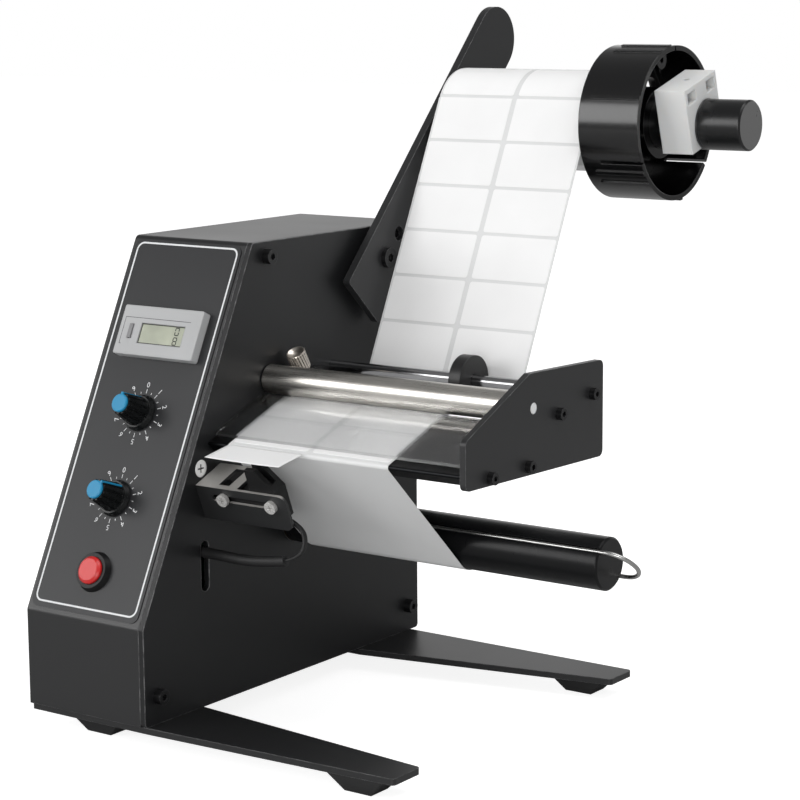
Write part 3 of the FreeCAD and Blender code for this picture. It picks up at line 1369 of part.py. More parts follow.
def sensor():
    drop = "sensor_front_drop"
    inner_end = "sensor_bracket_length - sensor_corner"
    top = box(("0", "0", "-sensor_sheet"), ("sensor_top_length", "sensor_top_reach", "sensor_sheet"))
    front = box(("0", "0", "-" + drop), (inner_end, "sensor_sheet", drop))
    corner_strip = box((inner_end, "0", "sensor_corner - " + drop),
                       ("sensor_corner", "sensor_sheet", drop + " - 2 * sensor_corner"))
    corners = [bar((inner_end, "0", z), "y", "sensor_corner", "sensor_sheet")
               for z in ("-sensor_corner", "sensor_corner - " + drop)]
    end_tab = box(("0", "0", "-" + drop), ("sensor_sheet", "sensor_top_reach", drop))
    half = "sensor_slot_width / 2"
    slot_ends = ("sensor_left_screw - sensor_slot_left_reach + " + half,
                 "sensor_right_screw + sensor_slot_right_reach - " + half)
    slots = [bar((x, "0", "-sensor_screw_drop"), "y", half, "sensor_sheet") for x in slot_ends]
    slots.append(box((slot_ends[0], "0", "-sensor_screw_drop - " + half),
                     ("%s - (%s)" % slot_ends[::-1], "sensor_sheet", "sensor_slot_width")))
    slots.append(box(("sensor_top_length / 2", "2 * sensor_sheet", "-sensor_sheet"),
                     ("sensor_top_slot_width", "sensor_top_reach - 4 * sensor_sheet", "sensor_sheet")))
    slots += [bar(("0", "sensor_tab_screw_back", drop_down), "x",
                  "small_shank_radius + thread_clearance", "sensor_sheet")
              for drop_down in ("-sensor_screw_drop", "-sensor_tab_low_screw")]
    deliver("sensor_bracket", cut(fuse(top, front, corner_strip, end_tab, *corners), *slots), "sensor")

    gap = "button_clearance"
    block_at = ("sensor_body_start", "sensor_sheet + " + gap, "-sensor_sheet - %s - sensor_body_drop" % gap)
    block = box(block_at, ("sensor_body_end - sensor_body_start", "sensor_body_depth", "sensor_body_drop"))
    fork_outline = [("sensor_fork_start", "nose_radius"),
                    ("sensor_body_end", "nose_radius"),
                    ("sensor_body_end", "2 * nose_radius + sensor_sheet"),
                    ("sensor_fork_top", "nose_radius + sensor_sheet + sensor_fork_rise"),
                    ("sensor_fork_start", "nose_radius + sensor_sheet + sensor_fork_rise")]
    fork = plate("XZ_Plane", fork_outline, "-sensor_sheet - %s - sensor_body_depth" % gap,
                 "sensor_body_depth")
    bind(fork, "Placement.Base.z", "-nose_radius - sensor_sheet - " + gap)
    slot = box(("sensor_fork_start", "sensor_sheet + %s + (sensor_body_depth - sensor_fork_gap) / 2" % gap,
                "sensor_fork_rise - sensor_fork_cut"),
               ("sensor_body_end - sensor_fork_start", "sensor_fork_gap", "sensor_fork_cut"))
    taps = [bar((x, "sensor_sheet + " + gap, "-sensor_screw_drop"), "y",
                "small_shank_radius + thread_clearance", "sensor_body_depth / 2")
            for x in ("sensor_left_screw", "sensor_right_screw")]
    deliver("label_sensor", cut(fuse(block, fork), slot, *taps), "sensor")

    screws = []
    for x in ("sensor_left_screw", "sensor_right_screw"):
        place = (x, "0", "-sensor_screw_drop")
        head = bar(place, "-y", "pan_head_radius", "pan_head_height")
        shank = bar(place, "y", "small_shank_radius", "sensor_sheet + sensor_body_depth / 2")
        recess = cross_recess(shift(place, "-y", "pan_head_height"), "-y", "small_shank_radius")
        screws.append(cut(fuse(head, shank), recess))
    deliver("sensor_screws", group(screws), "sensor")


def sensor_lead():
    side_face = sheet.case_width + sheet.side_plate_thickness
    sleeve_route = [(side_face + x, y, z) for x, y, z in SLEEVE_ROUTE]
    sleeve = lead(sleeve_route, sheet.sleeve_radius).cut(lead(sleeve_route, sheet.sleeve_bore))
    deliver("sensor_sleeve", feature(sleeve))
    wires = []
    for side in (-1, 1):
        offset = side * sheet.wire_spread / 2
        wires.append(lead([(side_face + x, y + offset, z) for x, y, z in WIRE_ROUTE], sheet.wire_radius))
    deliver("sensor_wires", feature(Part.makeCompound(wires)))


# ---------------------------------------------------------------- drive train

def flanged_pulley(y, z, radius, start, width, bore):
    """A pulley with a flange on each side of its belt."""
    rim = bar((start, y, z), "x", radius, width)
    flange_radius = radius + " + pulley_flange"
    flanges = [bar((at, y, z), "x", flange_radius, "pulley_flange_width")
               for at in (start + " - pulley_flange_width", "%s + %s" % (start, width))]
    hole = bar((start + " - pulley_flange_width", y, z), "x", bore, width + " + 2 * pulley_flange_width")
    return cut(fuse(rim, *flanges), hole)


def drive_train():
    timing = flanged_pulley("press_y", DRIVE_Z, "timing_drive_radius", TIMING_START + " - belt_gap",
                            "timing_width + 2 * belt_gap", "drive_shaft_radius")
    grooved = flanged_pulley("press_y", DRIVE_Z, "rewind_drive_radius", REWIND_BELT_START + " - belt_gap",
                             "rewind_belt_width + 2 * belt_gap", "drive_shaft_radius")
    neck_start = REWIND_BELT_START + " + rewind_belt_width + belt_gap + pulley_flange_width"
    neck = tube((neck_start, "press_y", DRIVE_Z), "x", "rewind_drive_radius", "drive_shaft_radius",
                "%s - belt_gap - pulley_flange_width - (%s)" % (TIMING_START, neck_start))
    deliver("drive_pulley", fuse(timing, grooved, neck))
    deliver("motor_pulley", flanged_pulley("motor_y", "motor_z", "timing_motor_radius",
                                           TIMING_START + " - belt_gap", "timing_width + 2 * belt_gap",
                                           "motor_shaft_radius"))
    deliver("rewind_pulley", flanged_pulley("rewind_y", "rewind_z", "rewind_pulley_radius",
                                            REWIND_BELT_START + " - belt_gap",
                                            "rewind_belt_width + 2 * belt_gap", "rewind_journal_radius"))
    drive_z = sheet.press_z - sheet.press_radius - sheet.nip_gap - sheet.drive_radius
    gap = sheet.belt_gap
    deliver("timing_belt", feature(belt(
        (sheet.press_y, drive_z, sheet.timing_drive_radius + gap),
        (sheet.motor_y, sheet.motor_z, sheet.timing_motor_radius + gap),
        sheet.timing_thickness, sheet.case_width - sheet.timing_inset, sheet.timing_width)))
    deliver("rewind_belt", feature(belt(
        (sheet.press_y, drive_z, sheet.rewind_drive_radius + gap),
        (sheet.rewind_y, sheet.rewind_z, sheet.rewind_pulley_radius + gap),
        sheet.rewind_belt_thickness, sheet.case_width - sheet.rewind_belt_inset, sheet.rewind_belt_width)))


def gear_motor():
    on_axis = ("motor_y", "motor_z")
    gearbox = bar((BRACKET_FACE,) + on_axis, "-x", "gearbox_radius", "gearbox_length")
    can = bar((BRACKET_FACE + " - gearbox_length",) + on_axis, "-x", "motor_radius", MOTOR_LENGTH)
    boss = bar((BRACKET_FACE,) + on_axis, "x", "motor_boss_radius", "bracket_sheet")
    deliver("gear_motor", fuse(gearbox, can, boss))
    shaft_length = ("bracket_depth - bracket_sheet - timing_inset + timing_width + belt_gap"
                    " + pulley_flange_width")
    deliver("motor_shaft", bar((BRACKET_FACE + " + bracket_sheet",) + on_axis, "x", "motor_shaft_radius",
                               shaft_length))

    left = "motor_y - bracket_half_width"
    low = "motor_z - bracket_half_height"
    wide = "2 * bracket_half_width"
    face = box((BRACKET_FACE, left, low), ("bracket_sheet", wide, "2 * bracket_half_height"))
    shelf = box((BRACKET_FACE, left, low), ("bracket_depth", wide, "bracket_sheet"))
    tab = box((SIDE_INNER + " - bracket_sheet", left, low + " - bracket_tab_drop"),
              ("bracket_sheet", wide, "bracket_tab_drop + bracket_sheet"))
    holes = [bar((SIDE_INNER + " - bracket_sheet", y, z), "x", "cap_shank_radius + thread_clearance",
                 "bracket_sheet") for y, z in BRACKET_SCREWS]
    holes.append(bar((BRACKET_FACE,) + on_axis, "x", "motor_boss_radius + thread_clearance",
                     "bracket_sheet"))
    deliver("motor_bracket", cut(fuse(face, shelf, tab), *holes))


# ---------------------------------------------------------------- electronics

def control_board():
    face = "(cover_wall + board_gap + board_thickness)"
    board = box(("cover_wall + board_gap", "board_front", "board_low"),
                ("board_thickness", BOARD_LENGTH, "board_height"))
    parts = [board]
    for y in ("board_front + spacer_inset", "case_depth - board_rear_gap - spacer_inset"):
        for z in ("board_low + spacer_inset", "board_low + board_height - spacer_inset"):
            parts.append(bar(("cover_wall", y, z), "x", "spacer_radius", "board_gap"))
    core = box((face, TRANSFORMER_FRONT, "transformer_low"),
               ("transformer_depth", "transformer_length", "transformer_height"))
    margin = "transformer_coil_margin"
    coil = box((face, TRANSFORMER_FRONT + " + " + margin, "transformer_low - %s / 2" % margin),
               ("transformer_depth - %s / 2" % margin, "transformer_length - 2 * " + margin,
                "transformer_height + " + margin))
    parts.append(fuse(core, coil))
    for k in range(3):
        parts.append(bar((face, "board_front + spacer_inset + capacitor_spacing * %d" % (k + 2),
                          "board_low + board_height / 2"), "x", "capacitor_radius", "capacitor_height"))
    for k in range(2):
        chip_front = "%s - chip_gap - chip_length * %f" % (TRANSFORMER_FRONT, 1.25 * k + 1)
        parts.append(box((face, chip_front, "board_low + 2 * spacer_inset"),
                         ("chip_height", "chip_length", "chip_width")))
    deliver("control_board", group(parts))


def power_inlet():
    left = "(case_width - inlet_width) / 2"
    low = "inlet_z - inlet_height / 2"
    body = box((left, "case_depth - inlet_depth", low), ("inlet_width", "inlet_depth", "inlet_height"))
    flange = box((left + " - inlet_flange", "case_depth", low + " - inlet_flange"),
                 ("inlet_width + 2 * inlet_flange", "inlet_flange_thickness",
                  "inlet_height + 2 * inlet_flange"))
    mouth = box((left + " + inlet_wall", "case_depth + inlet_flange_thickness - inlet_socket_depth",
                 low + " + inlet_wall"),
                ("inlet_width - 2 * inlet_wall", "inlet_socket_depth", "inlet_height - 2 * inlet_wall"))
    pins = [box(("(case_width - inlet_pin_width) / 2 + inlet_pin_spacing * %d" % k,
                 "case_depth + inlet_flange_thickness - inlet_socket_depth",
                 "inlet_z - inlet_pin_height / 2"),
                ("inlet_pin_width", "inlet_pin_length", "inlet_pin_height")) for k in (-1, 0, 1)]
    deliver("power_inlet", fuse(cut(fuse(body, flange), mouth), *pins))


# ---------------------------------------------------------------- checks and files

def check_and_write():
    doc.recompute()
    faults = [item.Name + " " + " ".join(item.State) for item in doc.Objects
              if "Invalid" in item.State or "Error" in item.State]
    for node, item in nodes.items():
        shape = item.Shape
        if shape.isNull() or not shape.isValid() or not shape.Solids:
            faults.append(node + " has no valid shape")
    if faults:
        raise RuntimeError("; ".join(faults))
    if len(nodes) > MAX_NODES:
        raise RuntimeError("%d nodes" % len(nodes))
    os.makedirs("parts", exist_ok=True)
    for node, item in nodes.items():
        item.Shape.exportStep(os.path.join("parts", node + ".step"))
    print(len(nodes), "nodes written")


case_cover()
side_plate()
base_and_feet()
case_screws()
panel_overlay()
counter()
knob("length", "length_knob_rise", "length_knob_turn")
knob("speed", "speed_knob_rise", "speed_knob_turn")
potentiometers()
power_button()
outboard_plate()
rollers()
shaft_bearings()
left_guide()
peel_table()
label_web()
spool_arm()
core_holder()
lock_block()
rewind_shaft()
sensor()
sensor_lead()
drive_train()
gear_motor()
control_board()
power_inlet()
check_and_write()
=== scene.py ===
"""Looks of the desk label dispenser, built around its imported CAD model.

Lengths are given in millimetres in the bench frame (X from the case's left side, Y from its front
face, Z from the floor) and moved to the model's frame, in metres, by place().
"""
import math

import bpy
from mathutils import Matrix, Vector


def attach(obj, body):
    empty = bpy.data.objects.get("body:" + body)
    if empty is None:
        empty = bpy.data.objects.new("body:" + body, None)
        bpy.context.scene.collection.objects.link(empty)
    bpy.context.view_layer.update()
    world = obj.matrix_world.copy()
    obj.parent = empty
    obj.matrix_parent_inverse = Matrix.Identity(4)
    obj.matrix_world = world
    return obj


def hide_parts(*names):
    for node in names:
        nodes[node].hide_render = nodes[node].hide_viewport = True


MM = 0.001
ORIGIN = Vector((34.0, 15.5, 0.0))

# Camera, in the bench frame
CAMERA_AT = Vector((765.493, -769.944, 337.313))
CAMERA_YAW, CAMERA_PITCH, CAMERA_ROLL = -0.623, 0.171, -0.007
CAMERA_LENS = 107.83

# Sizes shared with the CAD model
BEND_HEIGHT = 56.0
SLOPE_ANGLE = math.radians(63.8)
CASE_WIDTH = 68.0
PANEL_CENTRE = 34.2
LENGTH_RISE, SPEED_RISE = 98.2, 57.0
OVERLAY, PRINT_HEIGHT = 0.4, 0.05
COUNTER_LEFT, COUNTER_RISE, COUNTER_PROUD = 11.0, 124.3, 5.0
WINDOW_LEFT, WINDOW_RISE, WINDOW_WIDTH, WINDOW_HEIGHT = 12.7, 5.9, 26.5, 9.9
WINDOW_DEPTH, WINDOW_GLASS = 1.6, 1.0

# What the web passes, seen from the side as (Y, Z); NOSE is the peel table's front corner
SPOOL = (237.5, 272.17)
PRESS = (92.5, 157.0)
GUIDE = (141.0, 156.6)
TIE = (113.0, 151.6)
REWIND = (112.0, 87.6)
NOSE = (46.3, 133.6)
TABLE_SLOPE = math.radians(20.0)
TABLE_REAR, TABLE_FOOT_HIGH = 82.6, 134.6
TABLE_FOOT_FRONT, TABLE_FOOT_LOW = 51.5, 129.0
NOSE_RADIUS, CREST_RADIUS = 1.0, 1.0
ROLL_RADIUS = 24.2
DISC_RADIUS, TIE_RADIUS, PRESS_RADIUS, REWIND_RADIUS = 12.0, 4.0, 6.85, 12.0

# The web, its labels, and how far the liner runs round the roll and the rewind shaft
WEB_LEFT, WEB_WIDTH, WEB_THICKNESS, WEB_GAP = 83.0, 89.0, 0.25, 0.3
ROLL_COVER, WRAP_END = math.radians(310.0), math.radians(498.0)
LABEL_THICKNESS, LABEL_PITCH, LABEL_LENGTH, LABEL_WIDTH = 0.11, 23.6, 22.0, 42.0
LABEL_MARGIN, LABEL_START, LABEL_CORNER = 1.1, 1.6, 1.2

# The gaps under the labels, and the roll's liner to both sides of the roll's skin
LABEL_LIFT, ROLL_LABEL_LIFT = 0.005, 0.025
ROLL_LINER_UNDER, ROLL_LINER_OVER = 0.12, 0.02

# How finely the web's path is divided: an arc's steps are a share of its radius, within two limits
ARC_STEP_SHARE, ARC_STEP_LEAST, ARC_STEP_MOST = 0.12, 0.25, 1.2
RUN_STEP = 2.0

# The collar's thumbscrew, which leans forward from the tie rod
THUMB_LEAN = math.radians(30.0)
THUMB_X = 78.0
THUMB_STEM_START, THUMB_START, THUMB_HEIGHT, THUMB_RADIUS = 4.15, 10.5, 9.2, 4.6

# The sensor's lead: the model's routes, with points moved a few millimetres so that it
# hangs as the real one does
SLEEVE_ROUTE = ((60.0, 43.3, 83.6), (80.0, 43.3, 83.2), (100.0, 43.3, 82.6), (118.0, 43.5, 85.6))
SLEEVE_RADIUS, SLEEVE_LENGTH = 2.5, 58.2
WIRE_ROUTE = ((112.5, 43.45, 84.4), (124.0, 43.9, 87.0), (127.5, 46.2, 93.5), (124.0, 48.2, 101.0),
              (114.2, 48.6, 104.0))
WIRE_RADIUS, WIRE_SPREAD, WIRE_LENGTH = 0.7, 1.5, 36.3

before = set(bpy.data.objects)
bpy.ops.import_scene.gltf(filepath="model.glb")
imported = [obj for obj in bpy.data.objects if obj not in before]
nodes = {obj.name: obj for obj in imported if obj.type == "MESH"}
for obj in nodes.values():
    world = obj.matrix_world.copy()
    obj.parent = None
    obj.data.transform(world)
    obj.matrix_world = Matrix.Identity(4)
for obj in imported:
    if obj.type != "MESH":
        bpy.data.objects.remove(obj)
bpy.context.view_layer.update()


# ---------------------------------------------------------------- places

def place(x, y, z):
    """A place in the bench frame, moved to the model's frame."""
    return (Vector((x, y, z)) - ORIGIN) * MM


UP_SLOPE = Vector((0, math.cos(SLOPE_ANGLE), math.sin(SLOPE_ANGLE)))
OUT_OF_PANEL = Vector((0, -math.sin(SLOPE_ANGLE), math.cos(SLOPE_ANGLE)))


def panel(x, rise, out):
    """A place on the sloping panel: across, up the slope, and out from it."""
    at = Vector((x, 0, BEND_HEIGHT)) + UP_SLOPE * rise + OUT_OF_PANEL * out
    return (at - ORIGIN) * MM


# ---------------------------------------------------------------- mesh helpers

def mesh_object(name, points, faces, body, material, smooth=False):
    """A piece from points in metres, riding on a body."""
    mesh = bpy.data.meshes.new(name)
    mesh.from_pydata([tuple(p) for p in points], [], faces)
    mesh.validate()
    mesh.update()
    item = bpy.data.objects.new(name, mesh)
    bpy.context.scene.collection.objects.link(item)
    item.data.materials.append(material)
    for face in mesh.polygons:
        face.use_smooth = smooth
    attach(item, body)
    return item


class Builder:
    """Collects the faces of several solids for one piece on the frame."""

    def __init__(self, to_place):
        self.points = []
        self.faces = []
        self.to_place = to_place

    def add(self, points, faces):
        """Adds faces, with places counted from zero in the points given."""
        base = len(self.points)
        self.points += [self.to_place(*p) for p in points]
        self.faces += [tuple(base + k for k in face) for face in faces]

    def prism(self, outline, low, high):
        """A flat outline of (u, v) pairs between two heights."""
        count = len(outline)
        points = [(u, v, low) for u, v in outline] + [(u, v, high) for u, v in outline]
        faces = [tuple(range(count - 1, -1, -1)), tuple(range(count, 2 * count))]
        faces += [(k, (k + 1) % count, count + (k + 1) % count, count + k) for k in range(count)]
        self.add(points, faces)

    def ring(self, outer, inner, low, high):
        """The strip between two outlines with as many corners each."""
        count = len(outer)
        points = [(u, v, z) for z in (low, high) for u, v in outer]
        points += [(u, v, z) for z in (low, high) for u, v in inner]
        faces = []
        for k in range(count):
            n = (k + 1) % count
            faces.append((k, n, count + n, count + k))
            faces.append((2 * count + n, 2 * count + k, 3 * count + k, 3 * count + n))
            faces.append((count + k, count + n, 3 * count + n, 3 * count + k))
            faces.append((n, k, 2 * count + k, 2 * count + n))
        self.add(points, faces)

    def make(self, name, material):
        return mesh_object(name, self.points, self.faces, "frame", material)


def rounded_rectangle(left, low, right, high, radius, steps=8):
    """The outline of a rectangle with round corners."""
    outline = []
    for cx, cy, start in ((right - radius, high - radius, 0), (left + radius, high - radius, 90),
                          (left + radius, low + radius, 180), (right - radius, low + radius, 270)):
        for k in range(steps + 1):
            angle = math.radians(start + 90 * k / steps)
            outline.append((cx + radius * math.cos(angle), cy + radius * math.sin(angle)))
    return outline


def quad(u0, v0, u1, v1, half):
    """The outline of a thin bar from one point to another."""
    along = Vector((u1 - u0, v1 - v0)).normalized()
    side = Vector((-along.y, along.x)) * half
    return [(u0 + side.x, v0 + side.y), (u0 - side.x, v0 - side.y),
            (u1 - side.x, v1 - side.y), (u1 + side.x, v1 + side.y)]


# ---------------------------------------------------------------- materials

FINE_RELIEF = 0.02
# The colour sockets of a Mix node
MIX_FACTOR, MIX_A, MIX_B, MIX_RESULT = 0, 6, 7, 2


class Tree:
    """Short access to a node tree."""

    def __init__(self, tree):
        self.tree = tree

    def node(self, kind, **settings):
        """A new node, with values for its sockets or its own settings."""
        item = self.tree.nodes.new("ShaderNode" + kind)
        for key, value in settings.items():
            if key in item.inputs:
                item.inputs[key].default_value = value
            else:
                setattr(item, key, value)
        return item

    def link(self, source, output, target, socket):
        self.tree.links.new(source.outputs[output], target.inputs[socket])

    def ramp(self, source, output, stops):
        """Greys between stops of (position, brightness)."""
        item = self.node("ValToRGB")
        elements = item.color_ramp.elements
        while len(elements) < len(stops):
            elements.new(0.5)
        for element, (at, value) in zip(elements, stops):
            element.position = at
            element.color = (value, value, value, 1)
        self.link(source, output, item, "Fac")
        return item


class Graph(Tree):
    """A new material, with short access to its shader."""

    def __init__(self, name, colour, roughness, metallic=0.0):
        self.material = bpy.data.materials.new(name)
        self.material.use_nodes = True
        super().__init__(self.material.node_tree)
        self.shader = self.tree.nodes["Principled BSDF"]
        self.set("Base Color", (*colour, 1.0))
        self.set("Roughness", roughness)
        self.set("Metallic", metallic)

    def set(self, socket, value):
        self.shader.inputs[socket].default_value = value

    def coordinates(self, scale=(1, 1, 1)):
        where = self.node("TexCoord")
        mapping = self.node("Mapping", Scale=scale)
        self.link(where, "Object", mapping, "Vector")
        return mapping

    def noise(self, mapping, scale, detail=3.0, rough=0.55):
        item = self.node("TexNoise", Scale=scale, Detail=detail, Roughness=rough)
        self.link(mapping, "Vector", item, "Vector")
        return item

    def bump(self, source, output, strength, depth, under=None):
        item = self.node("Bump", Strength=strength, Distance=depth * MM)
        self.link(source, output, item, "Height")
        if under:
            self.link(under, "Normal", item, "Normal")
        self.link(item, "Normal", self.shader, "Normal")

    def round_edges(self, radius):
        item = self.node("Bevel", samples=4, Radius=radius * MM)
        self.link(item, "Normal", self.shader, "Normal")
        return item

    def edge_mask(self, rounded):
        """Bright where the surface turns over an edge: the mask of a painted edge highlight."""
        starts, full = 0.02, 0.25
        geometry = self.node("NewGeometry")
        dot = self.node("VectorMath", operation="DOT_PRODUCT")
        self.link(rounded, "Normal", dot, 0)
        self.link(geometry, "True Normal", dot, 1)
        flip = self.node("Math", operation="SUBTRACT")
        flip.inputs[0].default_value = 1.0
        self.link(dot, "Value", flip, 1)
        return self.ramp(flip, "Value", [(starts, 0.0), (full, 1.0)])

    def facing(self, axis, starts, full):
        """Bright on the faces that look along an axis."""
        geometry = self.node("NewGeometry")
        split = self.node("SeparateXYZ")
        self.link(geometry, "Normal", split, "Vector")
        return self.ramp(split, axis, [(starts, 0.0), (full, 1.0)])

    def tint(self, mask, first, second, output="Color"):
        """The first colour where the mask is dark, the second where it is bright."""
        item = self.node("Mix", data_type="RGBA")
        item.inputs[MIX_A].default_value = (*first, 1)
        item.inputs[MIX_B].default_value = (*second, 1)
        self.link(mask, output, item, MIX_FACTOR)
        self.link(item, MIX_RESULT, self.shader, "Base Color")

    def patches(self, noise, first, second, starts=0.3, full=0.7):
        """Soft patches of two colours."""
        self.tint(self.ramp(noise, "Fac", [(starts, 0.0), (full, 1.0)]), first, second)

    def vary_roughness(self, source, output, low, high):
        item = self.node("MapRange", **{"To Min": low, "To Max": high})
        self.link(source, output, item, "Value")
        self.link(item, "Result", self.shader, "Roughness")


def shade(colour, part):
    """A darker tone of a colour."""
    return tuple(c * part for c in colour)


def powder_coat(name, colour, worn_highlight, roughness, grain=900.0, depth=0.05, edge=0.6, specular=0.34):
    """A coat with a fine peel, lightened towards a second colour along its edges: partly rubbed wear,
    partly a painted highlight where the edges catch the light.
    """
    g = Graph(name, colour, roughness)
    g.set("Specular IOR Level", specular)
    where = g.coordinates()
    rounded = g.round_edges(edge)
    peel = g.noise(where, grain, detail=4.0, rough=0.6)
    broad = g.noise(where, 9.0)
    mask = g.edge_mask(rounded)
    rub = g.noise(where, 160.0, detail=5.0, rough=0.7)
    # The edges' lighter colour is partly wear and partly a painted highlight, broken up by the rub noise
    rubbed_highlight = g.node("Mix", data_type="RGBA", blend_type="MULTIPLY")
    rubbed_highlight.inputs[MIX_FACTOR].default_value = 1.0
    g.link(mask, "Color", rubbed_highlight, MIX_A)
    g.link(g.ramp(rub, "Fac", [(0.42, 0.25), (0.62, 0.9)]), "Color", rubbed_highlight, MIX_B)
    g.tint(rubbed_highlight, colour, worn_highlight, MIX_RESULT)
    g.vary_roughness(broad, "Fac", roughness - 0.05, roughness + 0.07)
    g.bump(peel, "Fac", 0.25, depth, rounded)
    return g.material


def moulded(name, colour, roughness, grain=1400.0, depth=0.02, coat=0.0, edge=0.3, scatter=0.0,
            specular=0.5):
    """Moulded plastic or rubber with a fine grain."""
    g = Graph(name, colour, roughness)
    g.set("Specular IOR Level", specular)
    where = g.coordinates()
    rounded = g.round_edges(edge)
    texture = g.noise(where, grain, rough=0.6)
    broad = g.noise(where, 14.0, detail=2.0)
    g.patches(broad, shade(colour, 0.86), colour, 0.35, 0.65)
    g.vary_roughness(texture, "Fac", max(0.03, roughness - 0.06), roughness + 0.06)
    g.bump(texture, "Fac", 0.2, depth, rounded)
    if coat:
        g.set("Coat Weight", coat)
        g.set("Coat Roughness", 0.08)
    if scatter:
        g.set("Subsurface Weight", scatter)
        g.set("Subsurface Radius", (0.004, 0.0035, 0.003))
        g.set("Subsurface Scale", 0.6)
    return g.material


def ground_metal(name, colour, roughness, lines, strength=0.12, edge=0.3, metallic=1.0):
    """Metal with a grain whose scale on each axis is in lines: small where it is drawn out."""
    g = Graph(name, colour, roughness, metallic)
    where = g.coordinates(lines)
    rounded = g.round_edges(edge)
    fine = g.noise(where, 1.0, detail=4.0, rough=0.65)
    broad = g.noise(g.coordinates(), 30.0)
    g.patches(broad, shade(colour, 0.72), colour)
    g.vary_roughness(fine, "Fac", max(0.04, roughness - 0.08), roughness + 0.12)
    g.bump(fine, "Fac", strength, FINE_RELIEF, rounded)
    return g.material


def printed(name, colour):
    """Ink with small lighter and darker spots."""
    g = Graph(name, colour, 0.5)
    spots = g.noise(g.coordinates(), 2500.0)
    g.patches(spots, shade(colour, 0.8), colour, 0.3, 0.6)
    return g.material


def two_tone(name, side, end, specular):
    """A satin finish, with the tone of the faces that look along X given apart."""
    g = Graph(name, side, 0.30)
    g.set("Specular IOR Level", specular)
    g.tint(g.facing("X", 0.80, 0.95), side, end)
    turned = g.noise(g.coordinates((900.0, 60.0, 60.0)), 1.0, rough=0.6)
    rounded = g.round_edges(0.6)
    g.bump(turned, "Fac", 0.10, FINE_RELIEF, rounded)
    g.vary_roughness(turned, "Fac", 0.24, 0.34)
    return g.material


def bracket_material():
    """Dark coat on the standing faces; the flange that faces up is painted light grey, a painted sheen
    for the light it catches.
    """
    g = Graph("bracket_steel", (0.02, 0.02, 0.021), 0.36)
    upward_sheen = g.facing("Z", 0.70, 0.86)
    streaks = g.noise(g.coordinates((60.0, 1400.0, 1400.0)), 1.0, detail=4.0, rough=0.6)
    # Painted sheen: the faces that look up take the light grey, the standing faces the dark coat
    g.tint(upward_sheen, (0.016, 0.0165, 0.017), (0.34, 0.33, 0.315))
    rounded = g.round_edges(0.3)
    g.bump(streaks, "Fac", 0.15, FINE_RELIEF, rounded)
    g.vary_roughness(streaks, "Fac", 0.30, 0.44)
    return g.material


# Each finish gives its name, its colour or two, its roughness, and what differs from the usual
# The powder coats' second colour is partly wear and partly a painted highlight along their edges
STEEL_BLACK = powder_coat("steel_black", (0.0085, 0.0088, 0.0095), (0.40, 0.40, 0.405), 0.40, edge=0.9)
ARM_BLACK = powder_coat("arm_black", (0.0150, 0.0153, 0.0162), (0.42, 0.42, 0.425), 0.40,
                        edge=0.35, specular=0.45)
COVER_GREY = powder_coat("cover_grey", (0.0110, 0.0112, 0.0120), (0.22, 0.22, 0.225), 0.36,
                         specular=0.5)
BAR_BLACK = powder_coat("bar_black", (0.0100, 0.0102, 0.0110), (0.24, 0.24, 0.245), 0.38, specular=0.5)
SCREW_BLACK = powder_coat("screw_black", (0.005, 0.005, 0.0055), (0.10, 0.10, 0.11), 0.34,
                          grain=2500.0, depth=0.02, edge=0.25)
ANODISED = ground_metal("anodised_black", (0.020, 0.0205, 0.022), 0.30,
                        lines=(1500.0, 60.0, 60.0), strength=0.10, edge=0.5)
REWIND_BLACK = two_tone("rewind_black", (0.0045, 0.0047, 0.0052), (0.008, 0.008, 0.0085), 0.20)
SPOOL_BLACK = two_tone("spool_black", (0.0040, 0.0042, 0.0047), (0.13, 0.13, 0.13), 0.45)
PLASTIC_BLACK = moulded("plastic_black", (0.005, 0.005, 0.0054), 0.40, specular=0.28)
KNOB_BLACK = moulded("knob_black", (0.0035, 0.0042, 0.0045), 0.28,
                     grain=500.0, depth=0.008, specular=0.35)
DISC_BLACK = moulded("disc_black", (0.009, 0.009, 0.0092), 0.42, grain=700.0, depth=0.03, edge=0.9)
GLOSS_BLACK = moulded("gloss_black", (0.0022, 0.0022, 0.0025), 0.19, grain=500.0, coat=0.15, edge=0.6)
PLASTIC_GREY = moulded("plastic_grey", (0.44, 0.445, 0.45), 0.45, grain=1200.0, edge=0.8)
PLASTIC_RED = moulded("plastic_red", (0.60, 0.014, 0.014), 0.36,
                      grain=900.0, depth=0.01, coat=0.1, edge=0.8)
PLASTIC_BLUE = moulded("plastic_blue", (0.006, 0.25, 0.47), 0.42, grain=1200.0, edge=0.5)
PLASTIC_WHITE = moulded("plastic_white", (0.82, 0.825, 0.82), 0.42,
                        grain=500.0, depth=0.03, edge=0.7, scatter=0.35)
RUBBER = moulded("rubber_feet_black", (0.012, 0.012, 0.0125), 0.72, grain=900.0, depth=0.06, edge=0.6)
RUBBER_GREY = moulded("rubber_drive", (0.045, 0.045, 0.047), 0.78, grain=2200.0, depth=0.08)
BELT_RUBBER = moulded("rubber_belt", (0.014, 0.014, 0.014), 0.70, grain=1800.0, depth=0.05)
CABLE_BLACK = moulded("cable_black", (0.008, 0.008, 0.0085), 0.58, grain=1500.0, depth=0.04)
BOARD_GREEN = moulded("board_green", (0.012, 0.10, 0.045), 0.36, grain=900.0)
ZINC = ground_metal("zinc_bright", (0.62, 0.61, 0.59), 0.27, lines=(260.0, 260.0, 260.0))
SCREW_ZINC = ground_metal("screw_zinc", (0.80, 0.79, 0.77), 0.26,
                          lines=(260.0, 260.0, 260.0), metallic=0.45)
SCREW_WHITE = two_tone("screw_white", (0.03, 0.03, 0.03), (0.80, 0.80, 0.79), 0.5)
